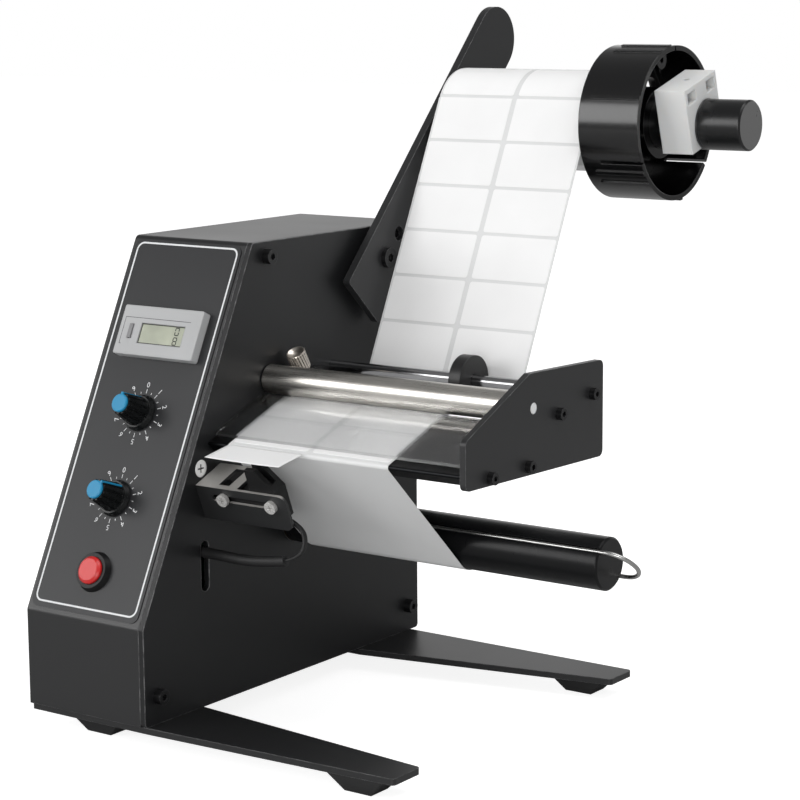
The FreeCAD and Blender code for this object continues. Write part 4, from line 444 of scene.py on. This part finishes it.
THUMB_NICKEL = ground_metal("thumb_nickel", (0.80, 0.74, 0.67), 0.30,
                            lines=(300.0, 300.0, 300.0), strength=0.10, edge=0.1)
# Painted shade for the valleys between the thumbscrew's ribs
THUMB_GROOVE_SHADE = moulded("thumb_groove_shade", (0.045, 0.030, 0.020), 0.5)
STEEL = ground_metal("steel_ground", (0.50, 0.50, 0.51), 0.30, lines=(900.0, 60.0, 60.0))
PRESS_STEEL = ground_metal("steel_press", (0.70, 0.675, 0.635), 0.27,
                           lines=(25.0, 2200.0, 2200.0), strength=0.02, edge=0.5)
CHROME = ground_metal("chrome_rod", (0.46, 0.46, 0.47), 0.14, lines=(2200.0, 20.0, 20.0), strength=0.04)
ALUMINIUM = ground_metal("aluminium_turned", (0.70, 0.71, 0.72), 0.30, lines=(900.0, 40.0, 40.0))
WIRE = ground_metal("wire_drawn", (0.52, 0.52, 0.51), 0.26, lines=(20.0, 800.0, 800.0), strength=0.10)
BRONZE = ground_metal("bronze_oiled", (0.060, 0.045, 0.030), 0.46,
                      lines=(500.0, 500.0, 500.0), strength=0.20)
BRACKET_STEEL = bracket_material()
PRINT_WHITE = printed("print_white", (0.74, 0.75, 0.76))
PRINT_DARK = printed("print_dark", (0.05, 0.05, 0.055))
FIGURE_DARK = printed("figure_dark", (0.018, 0.020, 0.016))
RESET_GREY = moulded("reset_grey", (0.23, 0.23, 0.235), 0.45, grain=1200.0)


def overlay_material():
    """Satin dark grey film with a very fine grain."""
    g = Graph("panel_film", (0.022, 0.0225, 0.024), 0.38)
    g.set("Specular IOR Level", 0.32)
    grain = g.noise(g.coordinates(), 3200.0, detail=2.0, rough=0.5)
    broad = g.noise(g.coordinates(), 6.0, detail=2.0)
    g.patches(broad, (0.019, 0.0195, 0.021), (0.024, 0.0245, 0.0262))
    g.vary_roughness(grain, "Fac", 0.34, 0.46)
    g.bump(grain, "Fac", 0.12, FINE_RELIEF)
    return g.material


def display_material():
    """Grey-green glass of a plain counter display."""
    g = Graph("display_film", (0.38, 0.40, 0.31), 0.30)
    broad = g.noise(g.coordinates(), 90.0, detail=2.0)
    g.patches(broad, (0.31, 0.33, 0.255), (0.40, 0.42, 0.325))
    g.set("Coat Weight", 0.3)
    g.set("Coat Roughness", 0.10)
    return g.material


def paper_material(name, colour, roughness, coat):
    """Smooth paper with a faint fibre."""
    g = Graph(name, colour, roughness)
    fibre = g.noise(g.coordinates((1.0, 1.6, 1.6)), 1600.0, detail=5.0, rough=0.7)
    broad = g.noise(g.coordinates(), 30.0, detail=2.0)
    g.patches(broad, shade(colour, 0.96), colour)
    g.bump(fibre, "Fac", 0.10, FINE_RELIEF)
    g.set("Coat Weight", coat)
    g.set("Coat Roughness", 0.25)
    g.set("Subsurface Weight", 0.08)
    g.set("Subsurface Radius", (0.002, 0.002, 0.002))
    return g.material


def acrylic_material():
    """Clear sheet with a faint smoke and a soft polish."""
    g = Graph("acrylic_clear", (0.98, 0.99, 0.99), 0.03)
    g.set("Transmission Weight", 1.0)
    g.set("Alpha", 0.5)
    g.set("IOR", 1.49)
    haze = g.noise(g.coordinates(), 45.0)
    g.vary_roughness(haze, "Fac", 0.015, 0.07)
    rounded = g.round_edges(0.4)
    g.bump(haze, "Fac", 0.02, FINE_RELIEF, rounded)
    return g.material


def roll_material():
    """Paper wound in fine turns round the spool shaft."""
    turn_pitch = 0.42 * MM
    g = Graph("paper_roll", (0.62, 0.62, 0.61), 0.62)
    where = g.node("TexCoord")
    centre = place(0.0, *SPOOL)
    mapping = g.node("Mapping", Location=(0.0, -centre.y, -centre.z))
    g.link(where, "Object", mapping, "Vector")
    split = g.node("SeparateXYZ")
    g.link(mapping, "Vector", split, "Vector")
    flat = g.node("CombineXYZ")
    g.link(split, "Y", flat, "X")
    g.link(split, "Z", flat, "Y")
    length = g.node("VectorMath", operation="LENGTH")
    g.link(flat, "Vector", length, 0)
    turns = g.node("Math", operation="MULTIPLY")
    turns.inputs[1].default_value = 2 * math.pi / turn_pitch
    g.link(length, "Value", turns, 0)
    wave = g.node("Math", operation="SINE")
    g.link(turns, "Value", wave, 0)
    g.tint(g.ramp(wave, "Value", [(0.0, 0.0), (0.9, 1.0)]), (0.44, 0.44, 0.43), (0.70, 0.70, 0.69))
    g.bump(wave, "Value", 0.25, 0.05)
    return g.material


OVERLAY_FILM = overlay_material()
DISPLAY_FILM = display_material()
LABEL_PAPER = paper_material("paper_label", (0.87, 0.87, 0.87), 0.55, 0.1)
LINER_PAPER = paper_material("paper_liner", (0.70, 0.705, 0.705), 0.45, 0.25)
ACRYLIC = acrylic_material()
ROLL_PAPER = roll_material()

NODE_MATERIALS = {
    STEEL_BLACK: ("side_plate", "base_plate"),
    ARM_BLACK: ("outboard_plate", "spool_arm"),
    COVER_GREY: ("case_cover",),
    BAR_BLACK: ("foot_bars",),
    SCREW_BLACK: ("foot_bar_screws", "case_screws", "frame_screws", "arm_screws"),
    RUBBER: ("rubber_feet",),
    ZINC: ("potentiometers", "motor_bracket"),
    SCREW_ZINC: ("sensor_screws",),
    SCREW_WHITE: ("countersunk_screws",),
    BRACKET_STEEL: ("sensor_bracket",),
    OVERLAY_FILM: ("panel_overlay",),
    PLASTIC_GREY: ("counter_housing",),
    DISPLAY_FILM: ("counter_display",),
    RESET_GREY: ("counter_reset_button",),
    PLASTIC_BLACK: ("power_switch", "power_inlet", "guide_collar", "label_sensor"),
    KNOB_BLACK: ("length_knob", "speed_knob"),
    PLASTIC_BLUE: ("length_knob_cap", "speed_knob_cap"),
    PLASTIC_RED: ("power_button",),
    ALUMINIUM: ("length_pot_shaft", "speed_pot_shaft", "motor_pulley", "drive_pulley", "rewind_pulley"),
    BOARD_GREEN: ("control_board",),
    STEEL: ("gear_motor", "motor_shaft", "drive_roller_shaft", "tie_rod"),
    PRESS_STEEL: ("press_roller",),
    CHROME: ("guide_rod",),
    BELT_RUBBER: ("timing_belt", "rewind_belt"),
    RUBBER_GREY: ("drive_roller",),
    BRONZE: ("shaft_bearings",),
    PLASTIC_WHITE: ("roller_pins", "lock_block"),
    DISC_BLACK: ("guide_disc",),
    ANODISED: ("peel_table", "arm_spacers"),
    REWIND_BLACK: ("rewind_shaft",),
    SPOOL_BLACK: ("spool_shaft",),
    ACRYLIC: ("hold_down_plate",),
    GLOSS_BLACK: ("core_holder",),
    WIRE: ("liner_clip",),
    ROLL_PAPER: ("label_roll",),
}
for material, names in NODE_MATERIALS.items():
    for node in names:
        nodes[node].data.materials.clear()
        nodes[node].data.materials.append(material)


# ---------------------------------------------------------------- panel print

def border_line():
    """The white line round the panel."""
    low, high, side, corner, width = 4.6, 181.2, 3.2, 4.0, 0.85
    outer = rounded_rectangle(side, low, CASE_WIDTH - side, high, corner)
    inner = rounded_rectangle(side + width, low + width, CASE_WIDTH - side - width, high - width,
                              corner - width)
    line = Builder(panel)
    line.ring(outer, inner, OVERLAY, OVERLAY + PRINT_HEIGHT)
    line.make("panel_border_line", PRINT_WHITE)


def digit_outline(text, size):
    """A plain digit as mesh data, centred, in millimetres."""
    curve = bpy.data.curves.new("digit", "FONT")
    curve.body = text
    curve.size = size
    curve.align_x = "CENTER"
    curve.align_y = "CENTER"
    curve.resolution_u = 3
    holder = bpy.data.objects.new("digit", curve)
    bpy.context.scene.collection.objects.link(holder)
    bpy.context.view_layer.update()
    mesh = bpy.data.meshes.new_from_object(holder)
    points = [(v.co.x, v.co.y) for v in mesh.vertices]
    faces = [tuple(f.vertices) for f in mesh.polygons]
    bpy.data.objects.remove(holder)
    bpy.data.curves.remove(curve)
    bpy.data.meshes.remove(mesh)
    return points, faces


def dial_scale(name, rise):
    """Ten numbered marks and ten short ones round a knob."""
    start, long_end, short_end, half_width = 9.66, 11.67, 10.6, 0.15
    numbers, step, numbers_at, size = 10, 36, 13.65, 3.6
    scale = Builder(panel)
    for number in range(numbers):
        angle = math.radians(90 - step * number)
        for turn, end in ((angle, long_end), (angle - math.radians(step / 2), short_end)):
            across, up = math.cos(turn), math.sin(turn)
            mark = quad(PANEL_CENTRE + start * across, rise + start * up,
                        PANEL_CENTRE + end * across, rise + end * up, half_width)
            scale.prism(mark, OVERLAY, OVERLAY + PRINT_HEIGHT)
        points, faces = digit_outline(str(number), size)
        turn = angle - math.pi / 2
        centre = (PANEL_CENTRE + numbers_at * math.cos(angle), rise + numbers_at * math.sin(angle))
        placed = []
        for u, v in points:
            along = u * math.cos(turn) - v * math.sin(turn)
            above = u * math.sin(turn) + v * math.cos(turn)
            placed.append((centre[0] + along, centre[1] + above, OVERLAY + PRINT_HEIGHT))
        scale.add(placed, faces)
    scale.make(name, PRINT_WHITE)


def counter_print():
    """A fine frame line, a painted shadow ring round the inside of the window, and two figures that lie
    on their side in it.
    """
    left, low, face = COUNTER_LEFT, COUNTER_RISE, COUNTER_PROUD
    line_left, line_right, line_low, line_high, tick, half_width = 2.2, 41.7, 5.0, 18.1, 1.1, 0.11
    corners = ((line_left + tick, line_low), (line_left, line_low), (line_left, line_high),
               (line_right, line_high))
    lines = Builder(panel)
    for (u0, v0), (u1, v1) in zip(corners, corners[1:]):
        bar = quad(left + u0, low + v0, left + u1, low + v1, half_width)
        lines.prism(bar, face, face + PRINT_HEIGHT)
    lines.make("counter_lines", PRINT_DARK)

    # A dark ring on the glass along the window's inside edges: a painted shadow of the recess
    shadow_ring_outside, shadow_ring_inside = 0.05, 0.5
    glass = COUNTER_PROUD - WINDOW_DEPTH + WINDOW_GLASS
    window = (left + WINDOW_LEFT, low + WINDOW_RISE, left + WINDOW_LEFT + WINDOW_WIDTH,
              low + WINDOW_RISE + WINDOW_HEIGHT)
    shadow_ring = Builder(panel)
    shadow_ring.ring(inset(window, shadow_ring_outside), inset(window, shadow_ring_inside), glass, glass + PRINT_HEIGHT)
    shadow_ring.make("window_shadow_ring", FIGURE_DARK)

    figures_across, nought_rise, eight_rise = 34.6, 137.5, 132.8
    figures = Builder(panel)
    for rise, shown in ((nought_rise, "abcdef"), (eight_rise, "abcdefg")):
        for segment in shown:
            figures.prism(segment_bar(segment, left + figures_across, rise), glass, glass + PRINT_HEIGHT)
    figures.make("counter_figures", FIGURE_DARK)


def inset(box, by):
    """The corners of a box (left, low, right, high) moved inwards."""
    left, low, right, high = box[0] + by, box[1] + by, box[2] - by, box[3] - by
    return [(left, low), (right, low), (right, high), (left, high)]


def segment_bar(segment, u, v):
    """One bar of a seven-bar figure."""
    tall, wide, half_width, gap = 3.5, 2.1, 0.24, 0.25
    side, top, far = wide / 2, tall / 2, tall / 2 - gap
    ends = {
        "a": (-side, top, side, top),
        "b": (side, gap, side, far),
        "c": (side, -far, side, -gap),
        "d": (-side, -top, side, -top),
        "e": (-side, -far, -side, -gap),
        "f": (-side, gap, -side, far),
        "g": (-side, 0, side, 0),
    }[segment]
    return quad(u + ends[0], v + ends[1], u + ends[2], v + ends[3], half_width)


# ---------------------------------------------------------------- label web

def tangent_angle(first, second):
    """The direction of the straight run between two circles (y, z, radius)."""
    across, up = second[0] - first[0], second[1] - first[1]
    return math.atan2(up, across) - math.asin((second[2] - first[2]) / math.hypot(across, up))


def rounded_corner(before, corner, after, radius):
    """The centre of the arc that rounds a corner."""
    first = Vector((before[0] - corner[0], before[1] - corner[1])).normalized()
    second = Vector((after[0] - corner[0], after[1] - corner[1])).normalized()
    half = first.angle(second) / 2
    middle = (first + second).normalized() * (radius / math.sin(half))
    return (corner[0] + middle.x, corner[1] + middle.y)


class Path:
    """The web's middle line in the Y-Z plane, with the distance along it."""

    def __init__(self):
        lift = WEB_GAP + WEB_THICKNESS / 2
        crest_z = NOSE[1] + (TABLE_REAR - NOSE[0]) * math.tan(TABLE_SLOPE)
        crest_corner = (TABLE_REAR, crest_z)
        crest = rounded_corner(NOSE, crest_corner, (TABLE_REAR, TABLE_FOOT_HIGH), CREST_RADIUS)
        nose = rounded_corner((TABLE_FOOT_FRONT, TABLE_FOOT_LOW), NOSE, crest_corner, NOSE_RADIUS)
        self.nose = nose
        # A radius is negative where the web turns the other way
        nose_circle = nose + (NOSE_RADIUS + lift,)
        circles = [SPOOL + (ROLL_RADIUS + lift,), GUIDE + (-(DISC_RADIUS + lift),),
                   TIE + (TIE_RADIUS + lift,), PRESS + (-(PRESS_RADIUS + lift),),
                   crest + (CREST_RADIUS + lift,), nose_circle, REWIND + (REWIND_RADIUS + lift,)]
        angles = [tangent_angle(a, b) for a, b in zip(circles, circles[1:])]
        self.samples = []
        self.distance = 0.0
        self.turn(circles[0], angles[0] - ROLL_COVER, angles[0])
        self.start_of_web = self.distance
        for circle, angle, following in zip(circles[1:], angles, angles[1:] + [WRAP_END]):
            end = (circle[0] + circle[2] * math.sin(angle), circle[1] - circle[2] * math.cos(angle))
            self.run(end, angle)
            if circle is nose_circle:
                self.at_nose = self.distance
            if circle[2] > 0:
                turned = (following - angle) % math.tau
            else:
                turned = -((angle - following) % math.tau)
            self.turn(circle, angle, angle + turned)

    def turn(self, circle, first, last):
        """Adds the arc round a circle from one direction to another."""
        length = abs((last - first) * circle[2])
        step = min(ARC_STEP_MOST, abs(circle[2]) * ARC_STEP_SHARE)
        steps = max(2, math.ceil(length / max(ARC_STEP_LEAST, step)))
        for k in range(steps + 1):
            angle = first + (last - first) * k / steps
            at = (circle[0] + circle[2] * math.sin(angle), circle[1] - circle[2] * math.cos(angle))
            self.samples.append((self.distance + length * k / steps, at[0], at[1], angle))
        self.distance += length

    def run(self, end, angle):
        """Adds the straight run to a point."""
        start = self.samples[-1]
        length = math.hypot(end[0] - start[1], end[1] - start[2])
        steps = max(1, int(length / RUN_STEP))
        for k in range(1, steps + 1):
            part = k / steps
            self.samples.append((self.distance + length * part, start[1] + (end[0] - start[1]) * part,
                                 start[2] + (end[1] - start[2]) * part, angle))
        self.distance += length

    def between(self, first, last):
        """Samples from one distance to another, with exact ends."""
        inside = [s for s in self.samples if first < s[0] < last]
        return [self.at(first)] + inside + [self.at(last)]

    def at(self, distance):
        """The sample (distance, y, z, direction) at a distance."""
        before = self.samples[0]
        for sample in self.samples[1:]:
            if sample[0] >= distance:
                span = sample[0] - before[0]
                part = (distance - before[0]) / span if span > 1e-9 else 0.0
                return tuple(a + (b - a) * part for a, b in zip(before, sample))
            before = sample
        return self.samples[-1]


def ribbon(name, path, first, last, left, right, inner, outer, body, material, corner=0.0):
    """A thin strip on the path, between two offsets to its outer side, with round corners."""
    rows = path.between(first, last)
    if corner:
        sides = [corner * (1 - math.cos(math.radians(t))) for t in (30, 60, 90)]
        marks = [first + side for side in sides] + [last - side for side in sides]
        rows = sorted(rows + [path.at(mark) for mark in marks], key=lambda row: row[0])
    points, faces = [], []
    for distance, y, z, angle in rows:
        near = min(distance - first, last - distance)
        trim = 0.0
        if corner and near < corner:
            trim = corner - math.sqrt(max(0.0, corner ** 2 - (corner - max(near, 0.0)) ** 2))
        for offset in (inner, outer):
            out_y, out_z = math.sin(angle) * offset, -math.cos(angle) * offset
            points.append(place(left + trim, y + out_y, z + out_z))
            points.append(place(right - trim, y + out_y, z + out_z))
    count = len(rows)
    for k in range(count - 1):
        a, b = 4 * k, 4 * (k + 1)
        faces += [(a, a + 1, b + 1, b), (a + 2, b + 2, b + 3, a + 3),
                  (a, b, b + 2, a + 2), (a + 1, a + 3, b + 3, b + 1)]
    faces += [(0, 2, 3, 1), (4 * count - 4, 4 * count - 3, 4 * count - 1, 4 * count - 2)]
    return mesh_object(name, points, faces, body, material)


def label_web():
    """The liner and the labels on it, of which the ones on the roll spin with it."""
    path = Path()
    liner_in, liner_out = -WEB_THICKNESS / 2, WEB_THICKNESS / 2 - LABEL_THICKNESS
    right = WEB_LEFT + WEB_WIDTH
    liner = ribbon("web_liner", path, path.start_of_web, path.distance, WEB_LEFT, right,
                   liner_in, liner_out, "frame", LINER_PAPER)
    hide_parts("label_web")
    skin = -WEB_GAP
    ribbon("roll_liner", path, 0.0, path.start_of_web, WEB_LEFT, right,
           skin - ROLL_LINER_UNDER, skin + ROLL_LINER_OVER, "roll", LINER_PAPER)
    columns = ((WEB_LEFT + LABEL_MARGIN, WEB_LEFT + LABEL_MARGIN + LABEL_WIDTH),
               (right - LABEL_MARGIN - LABEL_WIDTH, right - LABEL_MARGIN))
    end = path.at_nose - LABEL_START
    row = 0
    while end - LABEL_LENGTH > 0.0:
        for column, (a, b) in enumerate(columns):
            name = "%02d_%d" % (row, column)
            label(path, name, end - LABEL_LENGTH, end, a, b, liner_out, skin)
        end -= LABEL_PITCH
        row += 1
    leaving_label(path)


def label(path, name, first, last, left, right, liner_out, skin):
    """One label, in two parts where it crosses from the roll to the free web."""
    split = path.start_of_web
    if last > split:
        corner = LABEL_CORNER if first > split else 0.0
        ribbon("label_" + name, path, max(first, split), last, left, right,
               liner_out + LABEL_LIFT, liner_out + LABEL_THICKNESS, "frame", LABEL_PAPER, corner)
    if first < split:
        corner = LABEL_CORNER if last < split else 0.0
        under = skin + ROLL_LABEL_LIFT
        ribbon("roll_label_" + name, path, first, min(last, split), left, right,
               under, under + LABEL_THICKNESS, "roll", LABEL_PAPER, corner)


def leaving_label(path):
    """The label that has left the liner: stiff paper that droops a little and curls at its corners."""
    left, wide, long, thickness = WEB_LEFT + LABEL_MARGIN, LABEL_WIDTH, 17.5, 0.14
    droop, sag, curl = math.radians(9.0), 0.35, 0.22
    across, along = 22, 14
    base_y = path.nose[0] - (NOSE_RADIUS + 2 * (WEB_GAP + WEB_THICKNESS / 2))
    base_z = path.nose[1] + NOSE_RADIUS
    points, faces = [], []
    for layer in (0.0, thickness):
        for j in range(along + 1):
            part = j / along
            for k in range(across + 1):
                side = 2 * k / across - 1
                distance = long * part
                bend = sag * part * part - curl * abs(side) ** 3 * part
                y = base_y - distance * math.cos(droop) - layer * math.sin(droop)
                z = base_z - distance * math.sin(droop) - bend + layer
                points.append(place(left + wide * k / across, y, z))
    row = across + 1
    top = row * (along + 1)
    for j in range(along):
        for k in range(across):
            a = j * row + k
            faces.append((a, a + 1, a + row + 1, a + row))
            faces.append((top + a, top + a + row, top + a + row + 1, top + a + 1))
    rim = list(range(row))
    rim += [j * row + across for j in range(1, along + 1)]
    rim += [along * row + k for k in range(across - 1, -1, -1)]
    rim += [j * row for j in range(along - 1, 0, -1)]
    for a, b in zip(rim, rim[1:] + rim[:1]):
        faces.append((a, top + a, top + b, b))
    mesh_object("leaving_label", points, faces, "frame", LABEL_PAPER, smooth=True)


# ---------------------------------------------------------------- thumbscrew

def thumb_place(radial, angle, along):
    """A place on the leaning thumbscrew, round its axis and along it."""
    local = Vector((radial * math.cos(angle), radial * math.sin(angle), along))
    leaning = Matrix.Rotation(THUMB_LEAN, 3, "X") @ local
    return place(THUMB_X + leaning.x, TIE[0] + leaning.y, TIE[1] + leaning.z)


def lathe(profile, around, radius_at):
    """Rings of points round the thumbscrew's axis, closed at both ends; radius_at shapes each ring."""
    smallest = 0.01
    points, faces = [], []
    for step, (_, along) in enumerate(profile):
        for k in range(around):
            angle = math.tau * k / around
            points.append(thumb_place(max(radius_at(step, angle), smallest), angle, along))
    for step in range(len(profile) - 1):
        ring, above = step * around, (step + 1) * around
        for k in range(around):
            n = (k + 1) % around
            faces.append((ring + k, ring + n, above + n, above + k))
    faces.append(tuple(range(around - 1, -1, -1)))
    faces.append(tuple(range((len(profile) - 1) * around, len(profile) * around)))
    return points, faces


def thumbscrew():
    """A ribbed head, with painted shade in the valleys between its ribs, and a deeply dished top, on its
    threaded stem.
    """
    around, rings, neck, chamfer = 200, 24, 1.2, 0.2
    rim, dish, dish_parts = 0.86, 1.6, (0.72, 0.56, 0.38, 0.2, 0.0)
    ribs, twist, groove, crown, hollow, groove_shade_share = 20, 1.6, 0.6, 1.5, 0.6, 0.35
    profile = [(neck, THUMB_START)]
    profile += [(THUMB_RADIUS, THUMB_START + THUMB_HEIGHT * k / rings) for k in range(rings + 1)]
    profile += [(THUMB_RADIUS * part, THUMB_START + THUMB_HEIGHT - dish * (1 - (part / rim) ** 2))
                for part in (rim,) + dish_parts]

    def ribbed(step, angle):
        radial, part = profile[step][0], (step - 1) / rings
        if not 0 < part < 1:
            return radial - (chamfer if 0 <= part <= 1 else 0.0)
        ridge = min(1.0, crown * abs(math.sin(ribs / 2 * angle + twist * part))) ** hollow
        return radial - groove + groove * ridge

    head = mesh_object("ribbed_thumb_head", *lathe(profile, around, ribbed), "thumb", THUMB_NICKEL)
    # The deepest part of each valley gets the dark brown material: painted shade in the grooves
    head.data.materials.append(THUMB_GROOVE_SHADE)
    groove_shade_under = THUMB_RADIUS - groove_shade_share * groove
    for face in head.data.polygons:
        step, k = divmod(face.index, around)
        angle = math.tau * (k + 0.5) / around
        if 0 < step < rings and ribbed(step, angle) < groove_shade_under:
            face.material_index = 1
    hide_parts("thumbscrew")

    stem_radius, stem_around, pitch, depth, steps = 1.5, 24, 0.7, 0.22, 54
    stem_length = THUMB_START - THUMB_STEM_START
    rows = [(stem_radius, THUMB_STEM_START + stem_length * k / steps) for k in range(steps + 1)]

    def threaded(step, angle):
        radial, along = rows[step]
        phase = (along / pitch - angle / math.tau) % 1.0
        return radial - depth * abs(2 * phase - 1)

    mesh_object("thumb_stem", *lathe(rows, stem_around, threaded), "thumb", ZINC)


# ---------------------------------------------------------------- sensor lead

def lead(name, body, route, radius):
    """A short flexible lead that follows its route in one smooth line."""
    curve = bpy.data.curves.new(name, "CURVE")
    curve.dimensions = "3D"
    spline = curve.splines.new("NURBS")
    spline.points.add(len(route) - 1)
    for point, at in zip(spline.points, route):
        point.co = (*place(*at), 1.0)
    spline.order_u = 3
    spline.use_endpoint_u = True
    spline.resolution_u = 16
    curve.bevel_depth = radius * MM
    curve.bevel_resolution = 6
    curve.use_fill_caps = True
    item = bpy.data.objects.new(name, curve)
    bpy.context.scene.collection.objects.link(item)
    item.data.materials.append(CABLE_BLACK)
    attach(item, body)
    return item


def sensor_lead():
    """The black sleeve, which stays on the frame, and the two wires that slide with the sensor."""
    sleeve = lead("lead_sleeve", "frame", SLEEVE_ROUTE, SLEEVE_RADIUS)
    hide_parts("sensor_sleeve")
    for name, side in (("lead_wire_front", -1), ("lead_wire_back", 1)):
        route = tuple((x, y + side * WIRE_SPREAD / 2, z) for x, y, z in WIRE_ROUTE)
        wire = lead(name, "sensor", route, WIRE_RADIUS)
        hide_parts("sensor_wires")


border_line()
dial_scale("length_scale", LENGTH_RISE)
dial_scale("speed_scale", SPEED_RISE)
counter_print()
label_web()
thumbscrew()
sensor_lead()


# ---------------------------------------------------------------- studio

# Brightness of the room by the height of the direction, from -1 straight down to 1 straight up,
# and what a pale window behind the object adds, full within a cone round its direction
AMBIENT = ((-1.0, 0.28), (-0.05, 0.30), (0.04, 0.55), (0.30, 0.46), (0.6, 0.30), (1.0, 0.24))
ROOM_WINDOW = ((-0.06, 0.0), (0.03, 0.55), (0.34, 0.50), (0.5, 0.0))
ROOM_WINDOW_TOWARD, ROOM_WINDOW_STARTS, ROOM_WINDOW_FULL = (-0.58, 0.81, 0.0), 0.45, 0.85

# Each softbox: name, place in metres in the model's frame, watts, width and height
SOFTBOXES = (("key_softbox", (-1.15, -1.65, 0.80), 19.0, 1.4, 1.0),
             ("top_softbox", (0.65, 0.20, 1.70), 15.0, 1.2, 1.2),
             ("fill_softbox", (0.75, -1.25, 0.25), 8.0, 0.8, 0.5))
LIGHTS_AIM = (0.08, 0.12, 0.15)


def floor():
    """Pale paper with a glow that only the camera sees, so that it looks white."""
    half, glow_strength = 6.0, 0.84
    corners = [(-half, -half, 0), (half, -half, 0), (half, half, 0), (-half, half, 0)]
    mesh = bpy.data.meshes.new("studio_floor")
    mesh.from_pydata(corners, [], [(0, 1, 2, 3)])
    item = bpy.data.objects.new("studio_floor", mesh)
    bpy.context.scene.collection.objects.link(item)
    g = Graph("studio_paper", (0.60, 0.60, 0.60), 0.85)
    broad = g.noise(g.coordinates(), 3.0, detail=2.0)
    g.patches(broad, (0.59, 0.59, 0.59), (0.61, 0.61, 0.61))
    g.set("Specular IOR Level", 0.0)
    g.set("Emission Color", (1.0, 1.0, 1.0, 1.0))
    seen = g.node("LightPath")
    glow = g.node("Math", operation="MULTIPLY")
    glow.inputs[1].default_value = glow_strength
    g.link(seen, "Is Camera Ray", glow, 0)
    g.link(glow, "Value", g.shader, "Emission Strength")
    item.data.materials.append(g.material)


def room():
    """White behind the object, and a softer room for the light and the reflections."""
    world = bpy.data.worlds.new("studio_world")
    world.use_nodes = True
    sky = Tree(world.node_tree)
    where = sky.node("TexCoord")
    split = sky.node("SeparateXYZ")
    sky.link(where, "Generated", split, "Vector")
    ambient = by_height(sky, split, AMBIENT)
    window = by_height(sky, split, ROOM_WINDOW)
    toward = sky.node("VectorMath", operation="DOT_PRODUCT")
    toward.inputs[1].default_value = ROOM_WINDOW_TOWARD
    sky.link(where, "Generated", toward, 0)
    inside = sky.node("MapRange", **{"From Min": ROOM_WINDOW_STARTS, "From Max": ROOM_WINDOW_FULL})
    sky.link(toward, "Value", inside, "Value")
    lit = sky.node("Math", operation="MULTIPLY_ADD")
    sky.link(window, "Color", lit, 0)
    sky.link(inside, "Result", lit, 1)
    sky.link(ambient, "Color", lit, 2)
    seen = sky.node("LightPath")
    strength = sky.node("Mix", B=1.0)
    sky.link(seen, "Is Camera Ray", strength, "Factor")
    sky.link(lit, "Value", strength, "A")
    background = sky.tree.nodes["Background"]
    background.inputs["Color"].default_value = (1.0, 1.0, 1.0, 1.0)
    sky.link(strength, "Result", background, "Strength")
    bpy.context.scene.world = world


def by_height(sky, split, stops):
    """Brightness by the height of the direction, which the ramp takes from 0 to 1."""
    height = sky.node("MapRange", **{"From Min": -1.0})
    sky.link(split, "Z", height, "Value")
    return sky.ramp(height, "Result", [((up + 1) / 2, value) for up, value in stops])


def studio():
    """The softboxes, all aimed at the middle of the object."""
    for name, at, power, width, height in SOFTBOXES:
        light = bpy.data.lights.new(name, "AREA")
        light.shape = "RECTANGLE"
        light.size = width
        light.size_y = height
        light.energy = power
        item = bpy.data.objects.new(name, light)
        item.location = at
        item.rotation_euler = (Vector(LIGHTS_AIM) - Vector(at)).to_track_quat("-Z", "Y").to_euler()
        bpy.context.scene.collection.objects.link(item)


def camera():
    """The photograph's point of view."""
    yaw, pitch, roll = CAMERA_YAW, CAMERA_PITCH, CAMERA_ROLL
    forward = Vector((math.sin(yaw) * math.cos(pitch), math.cos(yaw) * math.cos(pitch),
                      -math.sin(pitch)))
    right = Vector((math.cos(yaw), -math.sin(yaw), 0.0))
    up = right.cross(forward)
    side = math.cos(roll) * right + math.sin(roll) * up
    top = -math.sin(roll) * right + math.cos(roll) * up
    data = bpy.data.cameras.new("photo_camera")
    data.sensor_width = 36.0
    data.sensor_fit = "HORIZONTAL"
    data.lens = CAMERA_LENS
    data.clip_start = 0.05
    data.clip_end = 20.0
    item = bpy.data.objects.new("photo_camera", data)
    rotation = Matrix((side, top, -forward)).transposed().to_4x4()
    item.matrix_world = Matrix.Translation((CAMERA_AT - ORIGIN) * MM) @ rotation
    bpy.context.scene.collection.objects.link(item)
    bpy.context.scene.camera = item


floor()
room()
studio()
camera()
bpy.context.scene.view_settings.view_transform = "Standard"
